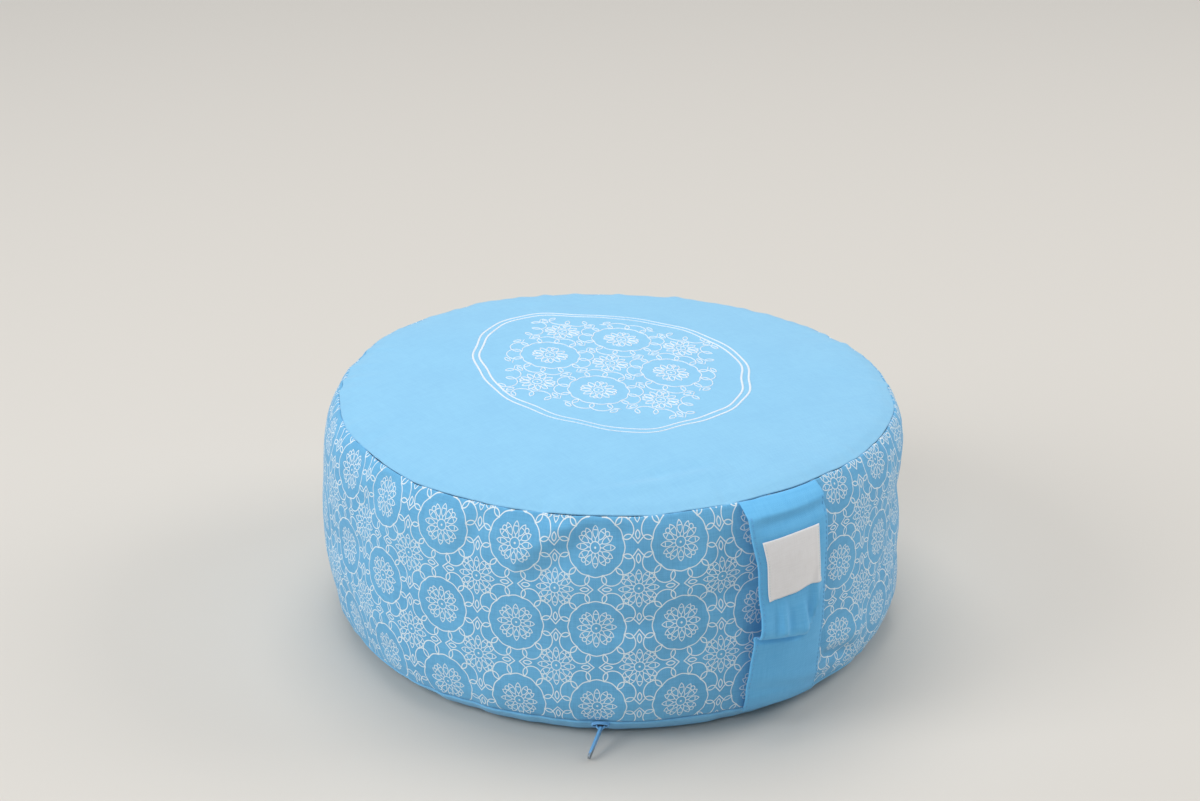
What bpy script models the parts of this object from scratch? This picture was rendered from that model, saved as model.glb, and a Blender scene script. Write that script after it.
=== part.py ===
"""A round meditation cushion with a carry strap, in metres, +Z up.

The origin is the centre of the base on the surface that the cushion stands on, and the carry
strap is on the -Y side. An azimuth is measured from -Y towards +X, in degrees.
"""
from math import atan2, cos, degrees, exp, hypot, pi, radians, sin
from typing import NamedTuple

import bmesh
import bpy
from mathutils import Matrix, Vector

MM = 0.001

# Driving dimensions.
CUSHION_RADIUS = 175 * MM
WIDEST_HEIGHT = 79 * MM
TOP_SEAM_RADIUS = 165.6 * MM
TOP_SEAM_HEIGHT = 140.4 * MM
CROWN = 10.5 * MM
CROWN_POWER = 3.2
BASE_SEAM_RADIUS = 167 * MM
BASE_SEAM_HEIGHT = 9.6 * MM
BASE_FLAT_RADIUS = 141 * MM
BASE_CURVE_POWER = 3
TOP_LEAN = 2.4 * MM
SIDE_ROLL_POWER = 5
PANEL_CLOTH = 2.0 * MM
RIM_ROUND = 0.3 * MM
CLEARANCE = 0.3 * MM
TURN_STEPS = 96
SIDE_ROWS = 13
ROW_EASING = 0.055

# The top panel's rim rolls over between these two distances inside and outside its seam.
RIM_ROLL = 1.4 * MM
RIM_ROLL_INSIDE = 9 * MM
RIM_ROLL_OUTSIDE = 1 * MM
SEAM_SINK = 0.2 * MM

# Where the band starts below the top seam and ends above the lower one.
SHOULDER_DROP = 2.6 * MM
BAND_TOP_DROP = 3.6 * MM
BAND_BASE_RISE = 2.4 * MM
BASE_LIP_RISE = 1.4 * MM
BASE_LIP_INSIDE = 0.1 * MM

# Between these heights or radii an unevenness comes in or goes out.
FOLDS_IN_ABOVE = (11 * MM, 17 * MM)
FOLDS_OUT_ABOVE = (134 * MM, 138.2 * MM)
WOBBLE_IN_ABOVE = (4 * MM, 12 * MM)
RIM_RADII = (120 * MM, 165 * MM)
LEAN_RADII = (30 * MM, 165 * MM)

# Slow hollows of the filling under the top panel.
HOLLOW_DEPTH = 0.9 * MM
HOLLOW_WAVE_X, HOLLOW_PHASE_X = 38 * MM, 0.6
HOLLOW_WAVE_Y, HOLLOW_PHASE_Y = 44 * MM, -0.4
HOLLOW_IN_ABOVE = (60 * MM, 132 * MM)
HOLLOW_OUT_RADII = (95 * MM, 160 * MM)

# The lower seam stands higher beside the zip.
LOW_RISE = 1.8 * MM
LOW_RISE_AZIMUTH = -28
LOW_RISE_SPREAD = 42
LOW_RISE_IN_ABOVE = (3 * MM, 10 * MM)
LOW_RISE_OUT_ABOVE = (14 * MM, 60 * MM)

# Welding distance, and the angles in degrees above which an edge is drawn sharp.
WELD = 0.01 * MM
SHARP_CLOTH = 50
SHARP_METAL = 40

# Carry strap and label.
STRAP_CLOTH = 2.2 * MM
STRAP_COLUMNS = 7
STRAP_ROWS = 26
STRAP_END_SHARE = 0.6
STRAP_END_RUN = 6
LABEL_CLOTH = 1.0 * MM
LABEL_STAND = 0.6 * MM
LABEL_COLUMNS = 8
LABEL_ROWS = 6

# Zip slider and pull.
SLIDER_AZIMUTH = -37.5
SLIDER_LENGTH = 11 * MM
SLIDER_HEIGHT = 4.8 * MM
SLIDER_THICKNESS = 1.7 * MM
SLIDER_RADIUS = 169.0 * MM
SLIDER_LEVEL = 10.8 * MM
SLIDER_TILT = 27
SLIDER_EDGE = 0.5 * MM
SLIDER_SIDES = 24
BAIL_WIRE = 0.4 * MM
BAIL_SPAN = 4.6 * MM
BAIL_RISE = 2.8 * MM
BAIL_STAND = 0.2 * MM
BAIL_STEPS = 10
PULL_LENGTH = 23.5 * MM
PULL_WIDTH = 3.2 * MM
PULL_THICKNESS = 1.3 * MM
PULL_EYE_RADIUS = 0.95 * MM
PULL_SLOPE = -19.5
PULL_SWING = -16.5
PULL_END_STEPS = 8
PULL_EYE_STEPS = 12


class Fold(NamedTuple):
    """A soft ridge (outward above 0) or trough in the side band, between two places."""

    azimuth_a: float
    height_a: float
    azimuth_b: float
    height_b: float
    half_width: float
    outward: float


class Swell(NamedTuple):
    """A broad swelling or sag of the filled side."""

    azimuth: float
    height: float
    azimuth_spread: float
    height_spread: float
    outward: float


class SeamRise(NamedTuple):
    """A stretch of the top seam that the filling holds higher, or lets sink below 0."""

    azimuth: float
    spread: float
    rise: float


class Wave(NamedTuple):
    """One wave round the cushion: how many to a turn, its phase in radians and its height."""

    turns: int
    phase: float
    height: float


class StrapRow(NamedTuple):
    """Where the strap's two edges are at one height, and how far it stands off the band."""

    height: float
    left: float
    right: float
    gap_left: float
    gap_middle: float
    gap_right: float


# Azimuths in degrees, other values in millimetres.
FOLDS = (
    Fold(-45.6, 137, -53.5, 113, 6.5, 2.8),
    Fold(-39.5, 132, -48.3, 107, 6.5, -2.5),
    Fold(-34.0, 131, -24.5, 114, 5.5, -1.9),
    Fold(-18.8, 113, -15.8, 106, 6, 1.5),
    Fold(-61.6, 130, -64.6, 115, 6, -2.0),
    Fold(-36.1, 73.5, -9.5, 94, 6.5, -2.4),
    Fold(-27.6, 54.5, -14.3, 65, 6, -1.6),
    Fold(10.1, 30, 17.6, 24, 5, -2.6),
    Fold(10.5, 41, 19.0, 37, 7, 1.7),
    Fold(30.0, 60, 44.0, 92, 9, -1.7),
    Fold(-86.0, 132, -92.0, 112, 8, -2.0),
    Fold(-112.0, 60, -94.0, 84, 9, -1.6),
    Fold(-150.0, 131, -146.0, 112, 8, -2.2),
    Fold(-172.0, 40, -158.0, 62, 8, -1.7),
    Fold(166.0, 133, 172.0, 114, 8, -2.2),
    Fold(132.0, 84, 152.0, 66, 9, -1.7),
    Fold(118.0, 132, 112.0, 115, 8, -2.0),
    Fold(82.0, 128, 88.0, 108, 9, -1.9),
    Fold(72.0, 34, 92.0, 46, 8, -1.7),
)
SWELLS = (
    Swell(64, 141, 30, 24, 2.4),
    Swell(50, 96, 34, 22, -1.9),
    Swell(48, 18, 36, 22, 2.6),
    Swell(-112, 22, 26, 18, -2.2),
    Swell(-122, 68, 34, 24, 1.4),
    Swell(-36, 2, 62, 14, 1.4),
    Swell(170, 70, 50, 40, 0.8),
)
SEAM_RISES = (
    SeamRise(-75, 26, -1.6),
    SeamRise(4, 26, 3.2),
    SeamRise(132, 34, -1.6),
    SeamRise(-166, 34, 2.0),
)
SEAM_WOBBLE = (Wave(9, 1.0, 0.45), Wave(14, 2.3, 0.35), Wave(23, 0.6, 0.25))
STRAP = (
    StrapRow(138.3, -11.2, 7.1, -0.4, -0.4, -0.4),
    StrapRow(134.0, -11.0, 6.6, 2.8, 2.8, 2.6),
    StrapRow(127.0, -10.9, 6.1, 5.0, 4.6, 4.8),
    StrapRow(120.0, -10.6, 5.7, 6.6, 7.2, 6.4),
    StrapRow(107.0, -9.8, 5.4, 8.2, 8.6, 6.9),
    StrapRow(93.0, -9.6, 5.5, 9.0, 9.4, 6.9),
    StrapRow(78.0, -9.4, 5.5, 9.2, 9.6, 6.9),
    StrapRow(68.0, -9.8, 5.5, 9.2, 9.4, 6.8),
    StrapRow(62.0, -9.8, 5.4, 6.6, 7.2, 6.6),
    StrapRow(51.0, -10.0, 5.4, 6.6, 6.8, 5.4),
    StrapRow(36.0, -10.4, 5.7, 5.8, 5.8, 4.4),
    StrapRow(24.0, -10.2, 6.2, 4.6, 4.6, 3.6),
    StrapRow(16.5, -9.8, 6.9, 2.6, 2.6, 2.2),
    StrapRow(11.6, -9.3, 7.8, 0.6, 0.6, 0.6),
)
LABEL_TOP = 121.9
LABEL_BOTTOM = 86.5
LABEL_TOP_RISE, LABEL_BOTTOM_RISE = 1.5, 4.0
LABEL_LEFT_TOP, LABEL_LEFT_BOTTOM = 0.103, 0.109
LABEL_RIGHT_TOP, LABEL_RIGHT_BOTTOM = 0.832, 0.847

# Radii of the profile's points, from the middle out and from the seam in.
CROWN_RADII = (0, 38, 74, 104, 128, 146, 157, 162.6, 165.4)
BASE_RADII = (166.9, 165.2, 162.4, 158.8, 154.4, 149, 141, 0)


def smooth(value, low, high):
    """Rise smoothly from 0 at low to 1 at high."""
    t = min(max((value - low) / (high - low), 0.0), 1.0)
    return t * t * (3 - 2 * t)


def blend(low, high, t):
    """Go from low at t = 0 to high at t = 1."""
    return low + (high - low) * t


def turned(first, second):
    """The angle from the second azimuth to the first, within half a turn, in degrees."""
    return (first - second + 180) % 360 - 180


def around(azimuth, radius, height):
    """A point at an azimuth in degrees, a radius and a height."""
    angle = radians(azimuth)
    return Vector((radius * sin(angle), -radius * cos(angle), height))


# The turned profile of the whole cushion.

def band_radius(height):
    """The side band's radius at a height: nearly upright, rolling in quickly at both seams."""
    if height >= WIDEST_HEIGHT:
        share = (height - WIDEST_HEIGHT) / (TOP_SEAM_HEIGHT - WIDEST_HEIGHT)
        return CUSHION_RADIUS - (CUSHION_RADIUS - TOP_SEAM_RADIUS) * share ** SIDE_ROLL_POWER
    share = (WIDEST_HEIGHT - height) / (WIDEST_HEIGHT - BASE_SEAM_HEIGHT)
    return CUSHION_RADIUS - (CUSHION_RADIUS - BASE_SEAM_RADIUS) * share ** SIDE_ROLL_POWER


def crown_height(radius):
    """The top panel's outer face at a radius, rolling over in the last stretch before the seam."""
    dome = CROWN * (1 - (radius / TOP_SEAM_RADIUS) ** CROWN_POWER)
    start, end = TOP_SEAM_RADIUS - RIM_ROLL_INSIDE, TOP_SEAM_RADIUS + RIM_ROLL_OUTSIDE
    return TOP_SEAM_HEIGHT + dome + RIM_ROLL * (1 - smooth(radius, start, end)) - SEAM_SINK


def base_height(radius):
    """The bottom panel's outer face at a radius: flat, then curving up to the lower seam."""
    share = max(radius - BASE_FLAT_RADIUS, 0) / (BASE_SEAM_RADIUS - BASE_FLAT_RADIUS)
    return BASE_SEAM_HEIGHT * share ** BASE_CURVE_POWER


def inset(outline, distance):
    """Move a profile, given top to bottom down its outer side, inward along its normals."""
    moved = []
    for index, (radius, height) in enumerate(outline):
        before = Vector(outline[max(index - 1, 0)])
        after = Vector(outline[min(index + 1, len(outline) - 1)])
        along = (after - before).normalized()
        moved.append((radius + along.y * distance, height - along.x * distance))
    return moved


def fold_depth(azimuth, height):
    """How far the ridges and troughs move the band outward, in metres."""
    level = height / MM
    moved = 0.0
    arc = radians(1) * CUSHION_RADIUS / MM
    for fold in FOLDS:
        across = turned(fold.azimuth_b, fold.azimuth_a) * arc
        run = Vector((across, fold.height_b - fold.height_a))
        here = Vector((turned(azimuth, fold.azimuth_a) * arc, level - fold.height_a))
        share = min(max(here.dot(run) / run.length_squared, 0.0), 1.0)
        away = (here - run * share).length / fold.half_width
        moved += fold.outward * exp(-away * away)
    return moved * MM


def swell_depth(azimuth, height):
    """How far the broad swellings and sags move the side outward, in metres."""
    moved = 0.0
    for swell in SWELLS:
        across = turned(azimuth, swell.azimuth) / swell.azimuth_spread
        up = (height / MM - swell.height) / swell.height_spread
        moved += swell.outward * exp(-across * across - up * up)
    return moved * MM


def side_depth(azimuth, height):
    """How far the swellings and the gathered seams move the side outward, in metres."""
    gathered = smooth(height, *WOBBLE_IN_ABOVE) * seam_wobble(azimuth)
    return swell_depth(azimuth, height) + gathered


def lean(azimuth, radius, height):
    """How much higher than level the cushion stands at a point, in metres."""
    rise = TOP_LEAN * cos(radians(azimuth)) * radius / CUSHION_RADIUS
    for seam in SEAM_RISES:
        across = turned(azimuth, seam.azimuth) / seam.spread
        rise += seam.rise * MM * exp(-across * across) * smooth(radius, *LEAN_RADII)
    return rise * height / TOP_SEAM_HEIGHT


def seam_wobble(azimuth):
    """The small in-and-out of the seams where the stitching gathers the cloth, in metres."""
    angle = radians(azimuth)
    return sum(wave.height * MM * sin(wave.turns * angle + wave.phase) for wave in SEAM_WOBBLE)


def hollow(point, radius):
    """How much higher the crown stands, or lower below 0, where the filling lies unevenly."""
    top = smooth(point.z, *HOLLOW_IN_ABOVE) * (1 - smooth(radius, *HOLLOW_OUT_RADII))
    wave_x = sin(point.x / HOLLOW_WAVE_X + HOLLOW_PHASE_X)
    wave_y = cos(point.y / HOLLOW_WAVE_Y + HOLLOW_PHASE_Y)
    return HOLLOW_DEPTH * top * wave_x * wave_y


def low_rise(azimuth, height):
    """How much higher the lower seam stands beside the zip, in metres."""
    across = turned(azimuth, LOW_RISE_AZIMUTH) / LOW_RISE_SPREAD
    share = smooth(height, *LOW_RISE_IN_ABOVE) * (1 - smooth(height, *LOW_RISE_OUT_ABOVE))
    return LOW_RISE * exp(-across * across) * share


def uneven(point):
    """Move a point of the turned profile to where the sewn and filled cloth really lies."""
    radius = hypot(point.x, point.y)
    azimuth = degrees(atan2(point.x, -point.y))
    height = point.z
    side = smooth(height, *FOLDS_IN_ABOVE) * (1 - smooth(height, *FOLDS_OUT_ABOVE))
    rim = smooth(radius, *RIM_RADII)
    outward = side * fold_depth(azimuth, height) + rim * side_depth(azimuth, height)
    moved = around(azimuth, radius + outward, height)
    moved.z += lean(azimuth, radius, height) + hollow(point, radius) + low_rise(azimuth, height)
    return moved


# Objects and materials.

def cloth(name, colour, roughness, metallic=0.0):
    """A Principled material with a plain colour."""
    material = bpy.data.materials.new(name)
    material.use_nodes = True
    shader = material.node_tree.nodes["Principled BSDF"]
    shader.inputs["Base Color"].default_value = (*colour, 1)
    shader.inputs["Roughness"].default_value = roughness
    shader.inputs["Metallic"].default_value = metallic
    material.diffuse_color = (*colour, 1)
    return material


def add_object(name, data, material, collection):
    """Put mesh or curve data in the collection as an object with one material."""
    item = bpy.data.objects.new(name, data)
    data.materials.append(material)
    collection.objects.link(item)
    return item


def made_mesh(item, name):
    """Replace an object by a mesh object of its evaluated shape, in world space."""
    bpy.context.view_layer.update()
    evaluated = item.evaluated_get(bpy.context.evaluated_depsgraph_get())
    mesh = bpy.data.meshes.new_from_object(evaluated)
    mesh.transform(item.matrix_world)
    collection = item.users_collection[0]
    bpy.data.objects.remove(item)
    result = bpy.data.objects.new(name, mesh)
    collection.objects.link(result)
    return result


def clean(item):
    """Weld the shape's loose caps and turn its faces out."""
    work = bmesh.new()
    work.from_mesh(item.data)
    bmesh.ops.remove_doubles(work, verts=work.verts, dist=WELD)
    bmesh.ops.recalc_face_normals(work, faces=work.faces)
    work.to_mesh(item.data)
    work.free()
    return item


def turned_piece(name, profile, material, collection):
    """Turn an outer profile, top to bottom, and move it to the cloth's uneven shape."""
    mesh = bpy.data.meshes.new(name)
    edges = [(index, index + 1) for index in range(len(profile) - 1)]
    mesh.from_pydata([(radius, 0, height) for radius, height in profile], edges, [])
    item = add_object(name, mesh, material, collection)
    screw = item.modifiers.new("turn", "SCREW")
    screw.steps = TURN_STEPS
    screw.render_steps = TURN_STEPS
    screw.use_merge_vertices = True
    screw.merge_threshold = WELD
    item = made_mesh(item, name)
    for vertex in item.data.vertices:
        vertex.co = uneven(vertex.co)
    item.data.shade_smooth()
    item.data.set_sharp_from_angle(angle=radians(SHARP_CLOTH))
    return item


# The turned cloth pieces.

CROWN_OUTLINE = [(radius * MM, crown_height(radius * MM)) for radius in CROWN_RADII]
BASE_OUTLINE = [(radius * MM, base_height(radius * MM)) for radius in BASE_RADII]


def cushion_profile():
    """The filled body: the crown under the top panel, the band, and the base above its panel."""
    below = PANEL_CLOTH + CLEARANCE
    points = inset(CROWN_OUTLINE, below)[:-1]
    points.append((TOP_SEAM_RADIUS, TOP_SEAM_HEIGHT - SHOULDER_DROP))
    highest = TOP_SEAM_HEIGHT - BAND_TOP_DROP
    lowest = BASE_SEAM_HEIGHT + BAND_BASE_RISE
    for row in range(SIDE_ROWS + 1):
        share = row / SIDE_ROWS
        eased = share - ROW_EASING * sin(2 * pi * share)
        height = blend(highest, lowest, eased)
        points.append((band_radius(height), height))
    points.append((BASE_SEAM_RADIUS - BASE_LIP_INSIDE, BASE_SEAM_HEIGHT + BASE_LIP_RISE))
    points += inset(BASE_OUTLINE, below)
    return points


def panel_profile(outline, rim_at):
    """A sheet of the panel's thickness inside its outline, with a rounded rim at the seam."""
    inner = inset(outline, PANEL_CLOTH)
    rim = (Vector(outline[rim_at]) + Vector(inner[rim_at])) / 2 + Vector((RIM_ROUND, 0))
    if rim_at:
        return outline + [tuple(rim)] + inner[::-1]
    return inner[::-1] + [tuple(rim)] + outline


# The strap and its label.

def row_between(height):
    """The strap's edges and stand-off at a height in millimetres, from the table's rows."""
    last = len(STRAP) - 1
    index = 0
    while index < last - 1 and height < STRAP[index + 1].height:
        index += 1
    upper, lower = STRAP[index], STRAP[index + 1]
    before = STRAP[max(index - 1, 0)]
    after = STRAP[min(index + 2, last)]
    t = (height - upper.height) / (lower.height - upper.height)
    values = []
    for a, b, c, d in zip(before, upper, lower, after):
        slope_in = (c - a) / 2
        slope_out = (d - b) / 2
        cubic = (2 * t ** 3 - 3 * t ** 2 + 1) * b + (t ** 3 - 2 * t ** 2 + t) * slope_in
        values.append(cubic + (3 * t ** 2 - 2 * t ** 3) * c + (t ** 3 - t ** 2) * slope_out)
    return StrapRow(*values)


def strap_point(across, height, lift):
    """A point over the strap's inner face: across from 0 at its left edge to 1, height in mm."""
    row = row_between(height)
    azimuth = blend(row.left, row.right, across)
    left_share = (1 - across) * (1 - 2 * across)
    middle_share = 4 * across * (1 - across)
    right_share = across * (2 * across - 1)
    gap = left_share * row.gap_left + middle_share * row.gap_middle + right_share * row.gap_right
    radius = band_radius(height * MM) + side_depth(azimuth, height * MM)
    radius += gap * MM + lift
    return around(azimuth, radius, height * MM + lean(azimuth, radius, height * MM))


def loft(name, rings, material, collection):
    """Join closed rings of points into one solid, capped at its first and last ring."""
    size = len(rings[0])
    points = [point for ring in rings for point in ring]
    faces = [tuple(reversed(range(size)))]
    for row in range(len(rings) - 1):
        for index in range(size):
            after = (index + 1) % size
            low = row * size
            faces.append((low + index, low + after, low + size + after, low + size + index))
    faces.append(tuple((len(rings) - 1) * size + index for index in range(size)))
    mesh = bpy.data.meshes.new(name)
    mesh.from_pydata(points, [], faces)
    item = add_object(name, mesh, material, collection)
    clean(item)
    mesh.shade_smooth()
    mesh.set_sharp_from_angle(angle=radians(SHARP_CLOTH))
    return item


def sheet_ring(height, left, right, columns, lift, thickness, rise=0):
    """One section through a sheet on the strap's surface, its right end higher by the rise."""
    steps = [column / columns for column in range(columns + 1)]
    places = [(blend(left, right, step), height + rise * step) for step in steps]
    inner = [strap_point(share, level, lift) for share, level in places]
    outer = [strap_point(share, level, lift + thickness) for share, level in reversed(places)]
    return inner + outer


def build_strap(material, collection):
    """The carry strap, from under the top panel's rim down to the lower seam."""
    top, bottom = STRAP[0].height, STRAP[-1].height
    heights = [blend(top, bottom, row / STRAP_ROWS) for row in range(STRAP_ROWS + 1)]
    rings = []
    for height in heights:
        ends = min(top - height, height - bottom)
        thickness = blend(STRAP_END_SHARE, 1, smooth(ends, 0, STRAP_END_RUN)) * STRAP_CLOTH
        rings.append(sheet_ring(height, 0, 1, STRAP_COLUMNS, 0, thickness))
    return loft("handle_strap", rings, material, collection)


def build_label(material, collection):
    """The woven label on the strap's outer face, a little thicker at its folded side hems."""
    lift = STRAP_CLOTH + LABEL_STAND
    rings = []
    for row in range(LABEL_ROWS + 1):
        share = row / LABEL_ROWS
        height = blend(LABEL_TOP, LABEL_BOTTOM, share)
        left = blend(LABEL_LEFT_TOP, LABEL_LEFT_BOTTOM, share)
        right = blend(LABEL_RIGHT_TOP, LABEL_RIGHT_BOTTOM, share)
        rise = blend(LABEL_TOP_RISE, LABEL_BOTTOM_RISE, share)
        rings.append(sheet_ring(height, left, right, LABEL_COLUMNS, lift, LABEL_CLOTH, rise))
    return loft("woven_label", rings, material, collection)


# The zip's slider and pull.

def slider_frame():
    """Where the slider sits: X along the seam, Z out of the seam, tilted down with the panel."""
    turn = Matrix.Rotation(radians(SLIDER_AZIMUTH), 4, "Z")
    stand = Matrix.Rotation(radians(90 + SLIDER_TILT), 4, "X")
    return Matrix.Translation(around(SLIDER_AZIMUTH, SLIDER_RADIUS, SLIDER_LEVEL)) @ turn @ stand


def build_slider(material, collection):
    """The slider: a waisted plate with bevelled edges and the bail that carries the pull."""
    bpy.ops.mesh.primitive_cylinder_add(vertices=SLIDER_SIDES, radius=0.5, depth=1)
    plate = bpy.context.object
    plate.data.transform(Matrix.Diagonal((SLIDER_LENGTH, SLIDER_HEIGHT, SLIDER_THICKNESS, 1)))
    for item_collection in list(plate.users_collection):
        item_collection.objects.unlink(plate)
    collection.objects.link(plate)
    plate.matrix_world = slider_frame()
    edge = plate.modifiers.new("edge", "BEVEL")
    edge.width = SLIDER_EDGE
    edge.segments = 2
    edge.limit_method = "ANGLE"
    plate = made_mesh(plate, "zip_slider")

    curve = bpy.data.curves.new("bail", "CURVE")
    curve.dimensions = "3D"
    curve.bevel_depth = BAIL_WIRE
    curve.bevel_resolution = 2
    curve.use_fill_caps = True
    spline = curve.splines.new("POLY")
    spline.points.add(BAIL_STEPS)
    for step in range(BAIL_STEPS + 1):
        angle = pi * step / BAIL_STEPS
        x = -cos(angle) * BAIL_SPAN / 2
        z = sin(angle) * BAIL_RISE
        spline.points[step].co = (x, 0, z + BAIL_STAND, 1)
    bail = bpy.data.objects.new("bail", curve)
    collection.objects.link(bail)
    bail.matrix_world = slider_frame()
    bail = clean(made_mesh(bail, "bail"))

    joined = plate.modifiers.new("bail", "BOOLEAN")
    joined.operation = "UNION"
    joined.solver = "EXACT"
    joined.object = bail
    slider = made_mesh(plate, "zip_slider")
    bpy.data.objects.remove(bail)
    slider.data.materials.clear()
    slider.data.materials.append(material)
    slider.data.shade_smooth()
    slider.data.set_sharp_from_angle(angle=radians(SHARP_METAL))
    return clean(slider)


def build_pull(material, collection):
    """The pull: a flat tag with round ends, its eye round the bail, sloping to the table."""
    curve = bpy.data.curves.new("zip_pull", "CURVE")
    curve.dimensions = "2D"
    curve.fill_mode = "BOTH"
    curve.extrude = PULL_THICKNESS / 2
    spline = curve.splines.new("POLY")
    half = PULL_WIDTH / 2
    outline = []
    for centre, start in ((0, 90), (PULL_LENGTH - PULL_WIDTH, -90)):
        for step in range(PULL_END_STEPS + 1):
            angle = radians(start + 180 * step / PULL_END_STEPS)
            outline.append((centre + half * cos(angle), half * sin(angle)))
    spline.points.add(len(outline) - 1)
    for point, (x, y) in zip(spline.points, outline):
        point.co = (x, y, 0, 1)
    spline.use_cyclic_u = True
    eye = curve.splines.new("POLY")
    eye.points.add(PULL_EYE_STEPS - 1)
    for step, point in enumerate(eye.points):
        angle = 2 * pi * step / PULL_EYE_STEPS
        point.co = (PULL_EYE_RADIUS * cos(angle), PULL_EYE_RADIUS * sin(angle), 0, 1)
    eye.use_cyclic_u = True
    pull = add_object("zip_pull", curve, material, collection)
    hang = slider_frame() @ Vector((0, 0, BAIL_RISE + BAIL_STAND))
    out = Matrix.Rotation(radians(SLIDER_AZIMUTH - 90 + PULL_SWING), 4, "Z")
    slope = Matrix.Rotation(radians(-PULL_SLOPE), 4, "Y")
    on_edge = Matrix.Rotation(radians(90), 4, "X")
    pull.matrix_world = Matrix.Translation(hang) @ out @ slope @ on_edge
    pull = clean(made_mesh(pull, "zip_pull"))
    pull.data.set_sharp_from_angle(angle=radians(SHARP_METAL))
    return pull


def main():
    for item in list(bpy.data.objects):
        bpy.data.objects.remove(item)
    collection = bpy.data.collections.new("meditation_cushion")
    bpy.context.scene.collection.children.link(collection)

    printed = cloth("printed_cotton", (0.29, 0.56, 0.78), 0.9)
    plain = cloth("blue_cotton", (0.30, 0.62, 0.86), 0.9)
    webbing = cloth("strap_cotton", (0.20, 0.50, 0.74), 0.9)
    woven = cloth("label_satin", (0.82, 0.82, 0.82), 0.7)
    painted = cloth("painted_zinc", (0.35, 0.62, 0.85), 0.35)

    turned_piece("cushion", cushion_profile(), printed, collection)
    turned_piece("top_panel", panel_profile(CROWN_OUTLINE, -1), plain, collection)
    turned_piece("bottom_panel", panel_profile(BASE_OUTLINE, 0), plain, collection)
    build_strap(webbing, collection)
    build_label(woven, collection)
    build_slider(painted, collection)
    build_pull(painted, collection)


main()
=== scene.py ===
"""A round meditation cushion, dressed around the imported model.

It is a drum of printed cotton with a crowned plain top and a plain base, an embroidered
roundel on the top, a carry strap with a bare woven label, and the slider and pull of the zip
in the lower seam. Lengths are in metres unless a name or a docstring says otherwise. An azimuth
is in degrees, from -Y, where the strap is, towards +X.
"""
import logging
from dataclasses import dataclass, field
from enum import Enum
from typing import Callable, Iterable, NamedTuple, Sequence

import bmesh
import bpy
import numpy as np
from mathutils import Matrix, Vector


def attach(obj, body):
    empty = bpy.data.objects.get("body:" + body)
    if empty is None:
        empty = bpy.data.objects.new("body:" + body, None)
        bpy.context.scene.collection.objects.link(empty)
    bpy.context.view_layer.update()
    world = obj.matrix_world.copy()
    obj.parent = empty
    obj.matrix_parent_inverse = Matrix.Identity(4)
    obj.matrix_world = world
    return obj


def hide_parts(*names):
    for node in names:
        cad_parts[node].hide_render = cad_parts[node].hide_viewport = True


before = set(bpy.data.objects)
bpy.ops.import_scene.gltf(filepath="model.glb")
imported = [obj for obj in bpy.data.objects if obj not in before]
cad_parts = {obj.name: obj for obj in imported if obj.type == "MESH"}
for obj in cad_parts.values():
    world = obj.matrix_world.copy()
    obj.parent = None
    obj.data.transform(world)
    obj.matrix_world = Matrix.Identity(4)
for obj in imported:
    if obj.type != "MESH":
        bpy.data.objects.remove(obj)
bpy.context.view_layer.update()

LOG = logging.getLogger("cushion")
MM = 0.001
TURN = 2 * np.pi
SAME_POINT = 0.002 * MM
TINY = 1e-12
THREAD_END = 0.3  # How wide a thread still is where it goes into the cloth.
Array = np.ndarray
Material = bpy.types.Material
Mesh = bpy.types.Mesh
Piece = bpy.types.Object
Socket = bpy.types.NodeSocket
Tree = bpy.types.NodeTree
Span = tuple[float, float]
Triple = tuple[float, float, float]


class Hold(Enum):
    """How a sheet of cloth is held on the cushion."""

    STRETCHED = "stretched"
    HUNG = "hung"


class Section(Enum):
    """The cross-section of a sewn thread, as shares of its half width and its height."""

    SATIN = ((-1.0, -0.35), (-0.72, 0.62), (0.0, 1.0), (0.72, 0.62), (1.0, -0.35))
    ROUND = ((-1.0, 0.0), (-0.5, -0.87), (0.5, -0.87), (1.0, 0.0), (0.5, 0.87), (-0.5, 0.87))


# Shapes in numbers.

def smooth(value: Array, low: float, high: float) -> Array:
    """Rise smoothly from 0 at low to 1 at high.

    Args:
        value: Where to read the rise.
        low: Where it starts.
        high: Where it ends.

    Returns:
        The rise, from 0 to 1.
    """
    t = np.clip((np.asarray(value) - low) / (high - low), 0.0, 1.0)
    return t * t * (3 - 2 * t)


def bump(value: Array, middle: float, spread: float) -> Array:
    """A soft hump of height 1.

    Args:
        value: Where to read the hump.
        middle: Where it is highest.
        spread: How far from there it has fallen to about a third.

    Returns:
        The hump, from 0 to 1.
    """
    away = (np.asarray(value) - middle) / spread
    return np.exp(-away * away)


def turned(first: Array, second: float) -> Array:
    """The angle from the second azimuth to the first, within half a turn, in degrees."""
    return (np.asarray(first) - second + 180) % 360 - 180


def around(azimuth: Array, radius: Array, height: Array) -> Array:
    """Points at azimuths in degrees, radii and heights, as an array of x, y, z."""
    angle = np.radians(azimuth)
    parts = np.broadcast_arrays(radius * np.sin(angle), -radius * np.cos(angle), height)
    return np.stack(parts, -1)


def azimuths(turns: int) -> Array:
    """Evenly spaced azimuths round the cushion, in degrees from -180, as a row."""
    return (-180 + 360 * np.arange(turns) / turns)[None]


def from_segment(x: Array, y: Array, ends: Sequence[float]) -> Array:
    """How far places are from a straight piece of line.

    Args:
        x: The places' first coordinates.
        y: Their second coordinates.
        ends: The line's ends: first and second coordinate of one, then of the other.

    Returns:
        The distances.
    """
    start_x, start_y, end_x, end_y = ends
    run_x, run_y = end_x - start_x, end_y - start_y
    share = ((x - start_x) * run_x + (y - start_y) * run_y) / (run_x ** 2 + run_y ** 2)
    share = np.clip(share, 0, 1)
    return np.hypot(x - start_x - share * run_x, y - start_y - share * run_y)


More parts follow.
